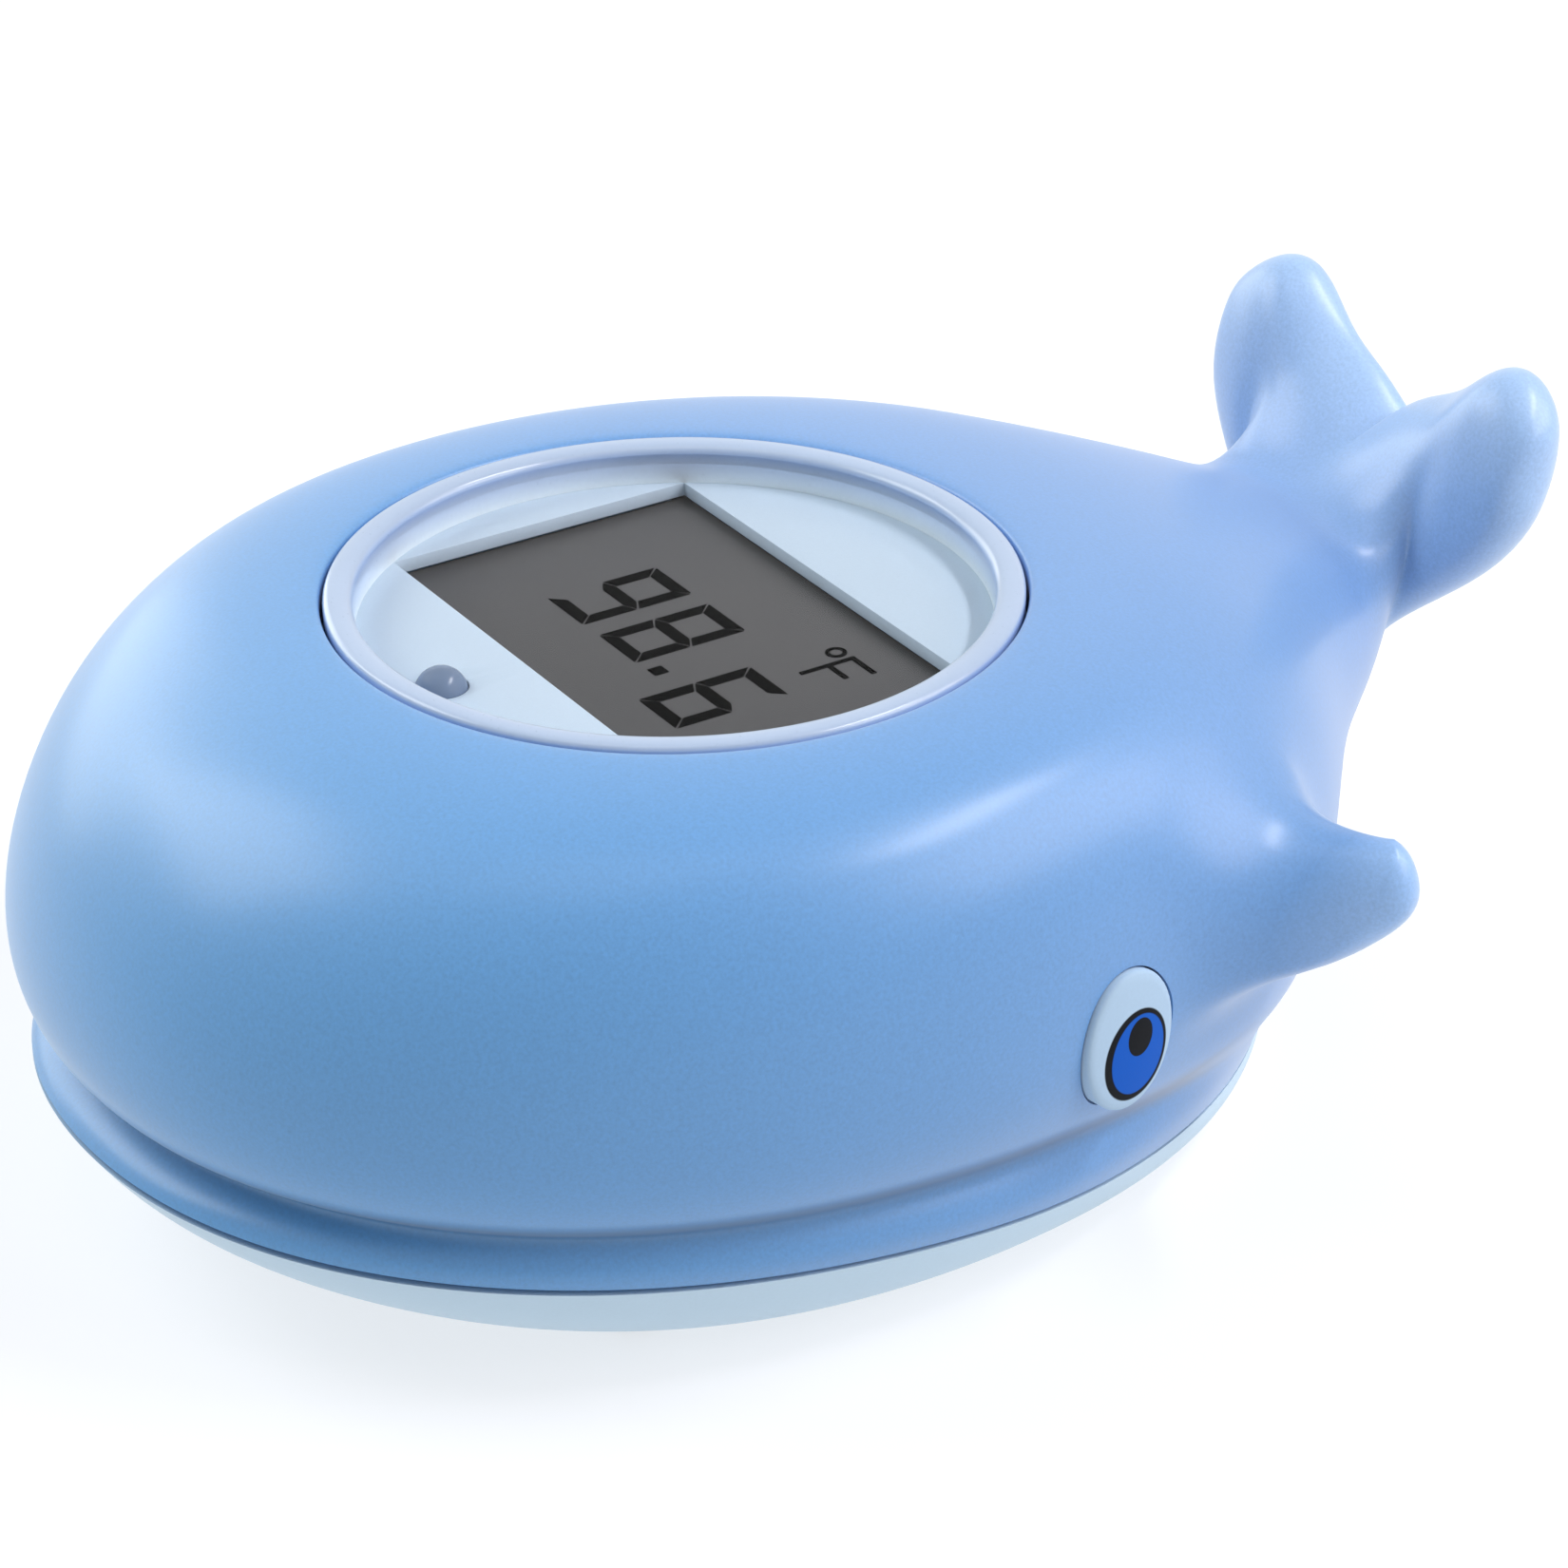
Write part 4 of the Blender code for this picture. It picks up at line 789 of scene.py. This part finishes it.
rim = turned("window_rim", (
    (LENS_IN_R - 0.1, SKIRT_END), (LENS_R - 0.15, SKIRT_END), (LENS_R, T - 2.9),
    (LENS_R, T - 0.42), (LENS_R - 0.08, T - 0.2), (LENS_R - 0.24, T - 0.08),
    (LENS_R - 0.5, T - 0.02), (LENS_R - 0.9, T), (LENS_R - 1.3, T - 0.03),
    (LENS_IN_R + 0.35, T - 0.12), (LENS_IN_R + 0.12, T - 0.26), (LENS_IN_R, T - 0.5),
), RIM_PALE, 160, loop=True)
shaded(rim, 50)
keep(rim, "clear_window", "window_lens")

CLEAR = bpy.data.materials.new("clear_pane")
CLEAR.use_nodes = True
tree = CLEAR.node_tree
shader = tree.nodes["Principled BSDF"]
shader.inputs["Base Color"].default_value = (0.96, 0.98, 1.0, 1)
shader.inputs["Transmission Weight"].default_value = 1.0
shader.inputs["IOR"].default_value = 1.06
place = add_node(tree, "ShaderNodeTexCoord").outputs["Object"]
haze = add_node(tree, "ShaderNodeTexNoise", {"Vector": place, "Scale": 300.0})
haze_range = add_node(tree, "ShaderNodeMapRange",
                      {"Value": haze.outputs["Fac"], "To Min": 0.0, "To Max": 0.012})
tree.links.new(haze_range.outputs["Result"], shader.inputs["Roughness"])
ray = add_node(tree, "ShaderNodeLightPath").outputs
through = add_node(tree, "ShaderNodeBsdfTransparent")
either = add_node(tree, "ShaderNodeMixShader",
                  {"Fac": ray["Is Shadow Ray"], 1: shader.outputs[0], 2: through.outputs[0]})
tree.links.new(either.outputs[0], tree.nodes["Material Output"].inputs["Surface"])
pane = turned("window_pane", rod(PANE_R, PANE_LOW, PANE_HIGH), CLEAR, 128)
shaded(pane, 30)
keep(pane, "clear_window")

# Face plate
# A pale moulded disc under the window, with a square-cornered opening for the display
# and a round hole for the alarm lamp. The window's skirt holds it down on its seal.
PLATE_R = POCKET_R - 0.55
PLATE_LOW, PLATE_HIGH = T - 4.1, T - 3.1
CUT_LOW, CUT_HIGH = T - 5, T - 2
lcd_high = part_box("lcd_glass")[1]
GLASS_X, GLASS_Y = lcd_high.x / MM, lcd_high.y / MM
OPEN_X = GLASS_X - 0.25
OPEN_Y = GLASS_Y - 0.25
LED_R = 1.85
led_low, led_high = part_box("alarm_led")
LED_Y = (led_low.y + led_high.y) / 2 / MM


def slab(name, half_x, half_y, z0, z1, material, cx=0.0, cy=0.0):
    corners = [(cx - half_x, cy - half_y), (cx + half_x, cy - half_y),
               (cx + half_x, cy + half_y), (cx - half_x, cy + half_y)]
    verts = [(x, y, z) for z in (z0, z1) for x, y in corners]
    faces = [(3, 2, 1, 0), (4, 5, 6, 7)]
    faces += [(i, (i + 1) % 4, (i + 1) % 4 + 4, i + 4) for i in range(4)]
    return mesh_object(name, verts, faces, material)


def eased(obj, width):
    # A small round on every edge sharper than 40 degrees.
    mod = obj.modifiers.new("ease", "BEVEL")
    mod.width = width * MM
    mod.segments = 2
    mod.limit_method = "ANGLE"
    mod.angle_limit = math.radians(40)
    mod.harden_normals = False
    settle(obj)


PLATE_PALE = grained("plate_pale", (0.67, 0.81, 0.93), 0.5, 0.03, 0.03, 0.05)
plate = turned("face_plate_moulding", rod(PLATE_R, PLATE_LOW, PLATE_HIGH), PLATE_PALE, 128)
cut(plate, slab("opening", OPEN_X, OPEN_Y, CUT_LOW, CUT_HIGH, PLATE_PALE))
cut(plate, turned("light_hole", rod(LED_R + 0.05, CUT_LOW, CUT_HIGH), PLATE_PALE, 48,
                  (0, LED_Y)))
eased(plate, 0.08)
shaded(plate, 40)
keep(plate, "plate_pale", "face_plate")

# Display
# A grey liquid crystal panel with black seven-part digits, clamped under the plate. Painted shade
# darkens the panel along its right side and its tail side, for the shade of the plate's edge.
PANEL_LOW, PANEL_HIGH = T - 6.4, T - 4.3
PANEL_GREY = (0.116, 0.114, 0.112)
EDGE_SHADE = 0.66
SHADE_X, SHADE_Y = 2.6, 2.2
SCREEN = grained("display_grey", (0.120, 0.120, 0.120), 0.55, 0.0, 0.01, 0.0,
                 gloss={"Specular IOR Level": 0.1})
tree = SCREEN.node_tree
axes = object_axes(tree)
lit = PANEL_GREY
for axis, edge, inside in (("X", -OPEN_X, -OPEN_X + SHADE_X), ("Y", OPEN_Y, OPEN_Y - SHADE_Y)):
    shade = add_node(tree, "ShaderNodeMapRange",
                     {"From Min": edge * MM, "From Max": inside * MM, "To Min": EDGE_SHADE,
                      "Value": axes[axis]}, interpolation_type="SMOOTHSTEP")
    lit = add_node(tree, "ShaderNodeVectorMath", {0: lit, "Scale": shade.outputs["Result"]},
                   operation="SCALE").outputs[0]
coloured(SCREEN, lit)
panel = slab("display_panel", GLASS_X, GLASS_Y, PANEL_LOW, PANEL_HIGH, SCREEN)
eased(panel, 0.1)
shaded(panel, 40)
keep(panel, "lcd_grey", "lcd_glass")

INK = grained("display_ink", (0.001, 0.001, 0.001), 0.6, 0.0, 0.0, 0.0,
              gloss={"Specular IOR Level": 0.0})
INK_LOW, INK_HIGH = PANEL_HIGH + 0.01, PANEL_HIGH + 0.05
DIGIT_W, DIGIT_H, BAR, NICK = 4.9, 8.8, 1.02, 0.12
STROKE = 0.42
UNIT_X, UNIT_Y, UNIT_TOP = 9.5, 3.95, 8.4
DEGREE_AT = (8.38, 7.7)
DEGREE_RADII = (0.44, 0.76)
DEGREE_SIDES = 32
ink_verts, ink_faces = [], []


def ink_shape(outline):
    # A thin raised shape on the panel.
    n, first = len(outline), len(ink_verts)
    ink_verts.extend((x, y, z) for z in (INK_LOW, INK_HIGH) for x, y in outline)
    ink_faces.append(tuple(first + n - 1 - i for i in range(n)))
    ink_faces.append(tuple(first + n + i for i in range(n)))
    ink_faces.extend((first + i, first + (i + 1) % n, first + n + (i + 1) % n, first + n + i)
                     for i in range(n))


def ink_box(x0, y0, x1, y1):
    ink_shape([(x0, y0), (x1, y0), (x1, y1), (x0, y1)])


def digit(cx, cy, lit):
    # Seven bars: a top, b c right, d bottom, e f left, g middle.
    w, h, t = DIGIT_W / 2, DIGIT_H / 2, BAR
    flat = {"a": ((-w + NICK, h), (w - NICK, h), (w - t, h - t), (-w + t, h - t)),
            "d": ((-w + NICK, -h), (-w + t, -h + t), (w - t, -h + t), (w - NICK, -h)),
            "g": ((-w + NICK, 0), (-w + t, t / 2), (w - t, t / 2), (w - NICK, 0),
                  (w - t, -t / 2), (-w + t, -t / 2))}
    for s, high, low in ((1, "b", "c"), (-1, "f", "e")):
        flat[high] = ((s * w, h - NICK), (s * w, NICK),
                      (s * (w - t), t / 2 + NICK), (s * (w - t), h - t - NICK))
        flat[low] = ((s * w, -h + NICK), (s * w, -NICK),
                     (s * (w - t), -t / 2 - NICK), (s * (w - t), -h + t + NICK))
    for bar in lit:
        ink_shape([(cx + x, cy + y) for x, y in flat[bar]])


digit(-7.15, -0.20, "abcdfg")
digit(-0.25, -0.10, "abcdefg")
digit(9.40, -2.75, "acdefg")
ink_box(3.5, -4.4, 4.6, -3.3)
ink_box(UNIT_X, UNIT_Y, UNIT_X + STROKE, UNIT_TOP)
ink_box(UNIT_X + STROKE, UNIT_TOP - STROKE, 12.4, UNIT_TOP)
ink_box(UNIT_X + STROKE, 6.0, 12.0, 6.0 + STROKE)
rows = []
for z in (INK_LOW, INK_HIGH):
    for r in DEGREE_RADII:
        rows.append([len(ink_verts) + i for i in range(DEGREE_SIDES)])
        for i in range(DEGREE_SIDES):
            turn = 2 * math.pi * i / DEGREE_SIDES
            ink_verts.append((DEGREE_AT[0] + r * math.cos(turn),
                              DEGREE_AT[1] + r * math.sin(turn), z))
for p, q in ((0, 1), (1, 3), (3, 2), (2, 0)):
    band(ink_faces, rows[p], rows[q])
digits = mesh_object("display_digits", ink_verts, ink_faces, INK)
keep(digits, "lcd_grey")

# Alarm lamp
# A small domed lamp of smoky resin that stands up through the round hole of the plate,
# which holds it straight.
LED_SMOKE = grained("smoky_resin", (0.22, 0.31, 0.46), 0.22, 0.0, 0.15, 0.0,
                    gloss={"Transmission Weight": 0.25, "IOR": 1.5})
LED_LOW, LED_TOP = led_low.z / MM, led_high.z / MM
dome = [(LED_R * math.cos(math.radians(a)), LED_TOP - LED_R + LED_R * math.sin(math.radians(a)))
        for a in range(0, 90, 9)]
lamp = turned("alarm_lamp", [(0, LED_LOW), (LED_R, LED_LOW)] + dome + [(0, LED_TOP)], LED_SMOKE,
              48, (0, LED_Y))
shaded(lamp, 50)
keep(lamp, "led_grey", "alarm_led")

# Eyes
# Domed oval inserts pressed into sockets, printed with a dark ring, a blue iris and a pupil
# that look up and towards the tail.
EYE_SPAN = 12.0
EYE_WHITE = (0.45, 0.61, 0.77)
PRINT_BLACK = (0.001, 0.002, 0.004)
PRINT_BLUE = (0.006, 0.105, 0.53)
DOME_LOW, DOME_RISE, DOME_EDGE = 0.30, 0.30, 0.95
oval_group, entry, leave = node_group(
    "printed_oval",
    (("NodeSocketVector", "Place", None),
     ("NodeSocketFloat", "Centre U", 0.0), ("NodeSocketFloat", "Centre V", 0.0),
     ("NodeSocketFloat", "Half U", 1.0), ("NodeSocketFloat", "Half V", 1.0)),
    (("NodeSocketFloat", "Mask"),))
apart = add_node(oval_group, "ShaderNodeSeparateXYZ", {0: entry["Place"]}).outputs
squares = []
for axis, centre, half in (("X", "Centre U", "Half U"), ("Y", "Centre V", "Half V")):
    off = math_node(oval_group, "SUBTRACT", apart[axis], entry[centre])
    part = math_node(oval_group, "DIVIDE", off, entry[half])
    squares.append(math_node(oval_group, "MULTIPLY", part, part))
reach = math_node(oval_group, "SQRT", math_node(oval_group, "ADD", *squares))
edge = add_node(oval_group, "ShaderNodeMapRange",
                {"From Min": 0.985, "From Max": 1.015, "To Min": 1.0, "To Max": 0.0,
                 "Value": reach})
oval_group.links.new(edge.outputs["Result"], leave.inputs["Mask"])

EYE_PRINT = grained("printed_eye", EYE_WHITE, 0.55, 0.04, 0.05, 0.06,
                    gloss={"Specular IOR Level": 0.12})
tree = EYE_PRINT.node_tree
eye_map = add_node(tree, "ShaderNodeUVMap", uv_map="eye").outputs["UV"]
paint = (*EYE_WHITE, 1)
for u, v, half_u, half_v, colour in ((0.30, -1.04, 2.90, 3.40, PRINT_BLACK),
                                     (0.47, -1.05, 2.45, 2.97, PRINT_BLUE),
                                     (0.56, 0.25, 1.15, 1.40, PRINT_BLACK)):
    oval = add_node(tree, "ShaderNodeGroup", {
        "Place": eye_map, "Centre U": 0.5 + u / EYE_SPAN, "Centre V": 0.5 + v / EYE_SPAN,
        "Half U": half_u / EYE_SPAN, "Half V": half_v / EYE_SPAN}, node_tree=oval_group)
    paint = add_node(tree, "ShaderNodeMix", {0: oval.outputs["Mask"], 6: paint, 7: (*colour, 1)},
                     data_type="RGBA").outputs[2]
coloured(EYE_PRINT, paint)
EYE_DOME = [(-1.25, 1.0), (0.0, 1.0), (0.18, 0.985), (DOME_LOW, DOME_EDGE)]
for part in (0.85, 0.72, 0.58, 0.44, 0.3, 0.16, 0.05):
    EYE_DOME.append((DOME_LOW + DOME_RISE * (1 - (part / DOME_EDGE) ** 2), part))
for name, side in (("eye_left", 1), ("eye_right", -1)):
    eye = oval_stack(name + "_insert", EYE_DOME, side, EYE_PRINT)
    layer = eye.data.uv_layers.new(name="eye")
    for corner in eye.data.loops:
        p = eye.data.vertices[corner.vertex_index].co / MM
        off = Vector((side * p.x, p.y, p.z)) - EYE_CENTRE
        layer.data[corner.index].uv = (0.5 + off.dot(EYE_ALONG) / EYE_SPAN,
                                       0.5 + off.z / EYE_SPAN)
    shaded(eye, 50)
    keep(eye, "eye_white", name)

# Battery door
# A round moulded door in the flat base, with three grip slots on each side and two deep
# seats for the screws that hold it against its seal.
DOOR_SCREW_Y = DOOR_R - 3.3
DOOR_HEAD_R, DOOR_HEAD_SEAT = 2.3, 1.0
DOOR_SHANK_R = 1.15
DOOR_HOLE_TOP = 2.0
GRIP_X = CELL_R * 0.95
GRIP_HALF_LENGTH, GRIP_HALF_WIDTH, GRIP_DEPTH = 3.5, 0.35, 0.5
DOOR_PALE = grained("door_pale", (0.50, 0.65, 0.76), 0.5, 0.04, 0.03, 0.12, 3000.0)
door = turned("battery_door_moulding",
              ((0, 0.0), (DOOR_R - 0.25, 0.0), (DOOR_R, 0.25), (DOOR_R, DOOR_T), (0, DOOR_T)),
              DOOR_PALE, 96)
for sy in (1, -1):
    cut(door, turned("hole", (
        (0, UNDER), (DOOR_HEAD_R, UNDER), (DOOR_HEAD_R, DOOR_HEAD_SEAT),
        (DOOR_SHANK_R, DOOR_HEAD_SEAT), (DOOR_SHANK_R, DOOR_HOLE_TOP), (0, DOOR_HOLE_TOP),
    ), DOOR_PALE, 40, (0, sy * DOOR_SCREW_Y)))
for sx in (1, -1):
    for y in (-2.0, 0.0, 2.0):
        cut(door, slab("grip", GRIP_HALF_LENGTH, GRIP_HALF_WIDTH, UNDER, GRIP_DEPTH, DOOR_PALE,
                       sx * GRIP_X, y))
shaded(door, 38)
keep(door, "belly_pale", "battery_door")

# Sensor cap
# A drawn steel cap with a rounded face, set in the dish of the belly near the nose. The sensor
# sits inside it and feels the water through the steel.
STEEL = grained("brushed_steel", (0.60, 0.61, 0.63), 0.32, 0.05, 0.05, 0.10, 3500.0, 1.0)
cap = turned("sensor_cap_steel", (
    (0, 0.25), (SENSOR_R - 0.9, 0.28), (SENSOR_R - 0.4, 0.38), (SENSOR_R - 0.1, 0.6),
    (SENSOR_R, 0.9), (SENSOR_R, 5.6), (SENSOR_R - 0.5, 5.6), (SENSOR_R - 0.5, 1.1), (0, 0.9),
), STEEL, 64, (0, SENSOR_Y))
shaded(cap, 40)
keep(cap, "steel", "sensor_cap")

# Screws
# Turned steel screws with a cross recess: four deep in the bores of the belly, two in the door.
# One of each is modelled, set at its places by Geometry Nodes and baked to a plain mesh.
SHANK_R = 1.1
POINT_R = 0.7
POINT_LENGTH = 0.5
RECESS_REACH = 0.55
RECESS_HALF = 0.3
RECESS_DEPTH = 0.75
spread, entry, leave = node_group(
    "set_screws",
    (("NodeSocketGeometry", "Places", None), ("NodeSocketObject", "Screw", None),
     ("NodeSocketMaterial", "Finish", None)),
    (("NodeSocketGeometry", "Screws"),), "GeometryNodeTree")
one = add_node(spread, "GeometryNodeObjectInfo", {"Object": entry["Screw"]})
turns = add_node(spread, "FunctionNodeRandomValue", {"Max": (0.0, 0.0, 1.5), "Seed": 4},
                 data_type="FLOAT_VECTOR")
placed = add_node(spread, "GeometryNodeInstanceOnPoints",
                  {"Points": entry["Places"], "Instance": one.outputs["Geometry"],
                   "Rotation": turns.outputs["Value"]})
solid = add_node(spread, "GeometryNodeRealizeInstances", {"Geometry": placed.outputs["Instances"]})
finish = add_node(spread, "GeometryNodeSetMaterial",
                  {"Geometry": solid.outputs["Geometry"], "Material": entry["Finish"]})
spread.links.new(finish.outputs["Geometry"], leave.inputs["Screws"])


def set_screws(name, node_names, head):
    # One screw from the box of its solid, then a copy at each place.
    boxes = [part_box(node) for node in node_names]
    low, high = boxes[0]
    r, reach = (high.x - low.x) / 2 / MM, (high.z - low.z) / MM
    screw = turned(name + "_one", (
        (0, 0.06), (r * 0.6, 0.02), (r * 0.86, 0.12), (r, 0.45), (r, head), (SHANK_R, head),
        (SHANK_R, reach - POINT_LENGTH), (POINT_R, reach), (0, reach)), STEEL, 40)
    for half_x, half_y in ((r * RECESS_REACH, RECESS_HALF), (RECESS_HALF, r * RECESS_REACH)):
        cut(screw, slab("recess", half_x, half_y, UNDER, RECESS_DEPTH, STEEL))
    places = bpy.data.meshes.new(name)
    places.from_pydata([((b[0].x + b[1].x) / 2, (b[0].y + b[1].y) / 2, b[0].z) for b in boxes],
                       [], [])
    screws = bpy.data.objects.new(name, places)
    scene.collection.objects.link(screws)
    mod = screws.modifiers.new("set", "NODES")
    mod.node_group = spread
    given = {"Screw": screw, "Finish": STEEL}
    for item in spread.interface.items_tree:
        if item.name in given:
            mod[item.identifier] = given[item.name]
    settle(screws)
    bpy.data.objects.remove(screw, do_unlink=True)
    shaded(screws, 40)
    keep(screws, "steel", *node_names)


set_screws("case_screws", ("case_screw_1", "case_screw_2", "case_screw_3", "case_screw_4"), 1.7)
set_screws("door_screws", ("door_screw_1", "door_screw_2"), 1.0)

# Inner pieces
# What the shell hides, and the two steel water pins in the base: seals, board, chip, cell,
# contacts and leads keep their solids and get the finish of their material.
INNER = {
    "seal_rubber": ((0.03, 0.035, 0.04), 0.75, 0.0), "board_green": ((0.02, 0.16, 0.07), 0.45, 0.0),
    "black_resin": ((0.015, 0.015, 0.015), 0.35, 0.0), "steel": ((0.60, 0.61, 0.63), 0.32, 1.0),
    "cell_steel": ((0.68, 0.68, 0.67), 0.22, 1.0), "wire_red": ((0.50, 0.03, 0.03), 0.45, 0.0),
    "wire_black": ((0.02, 0.02, 0.02), 0.45, 0.0), "zebra_pink": ((0.55, 0.35, 0.38), 0.7, 0.0),
}
finishes = {name: grained(name + "_finish", colour, roughness, 0.08, 0.08, 0.15, 2500.0, metal)
            for name, (colour, roughness, metal) in INNER.items()}
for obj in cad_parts.values():
    if not obj.hide_render:
        old = obj.data.materials[0].name
        kind = next(key for key in INNER if key in old)
        obj.data.materials[0] = finishes[kind]
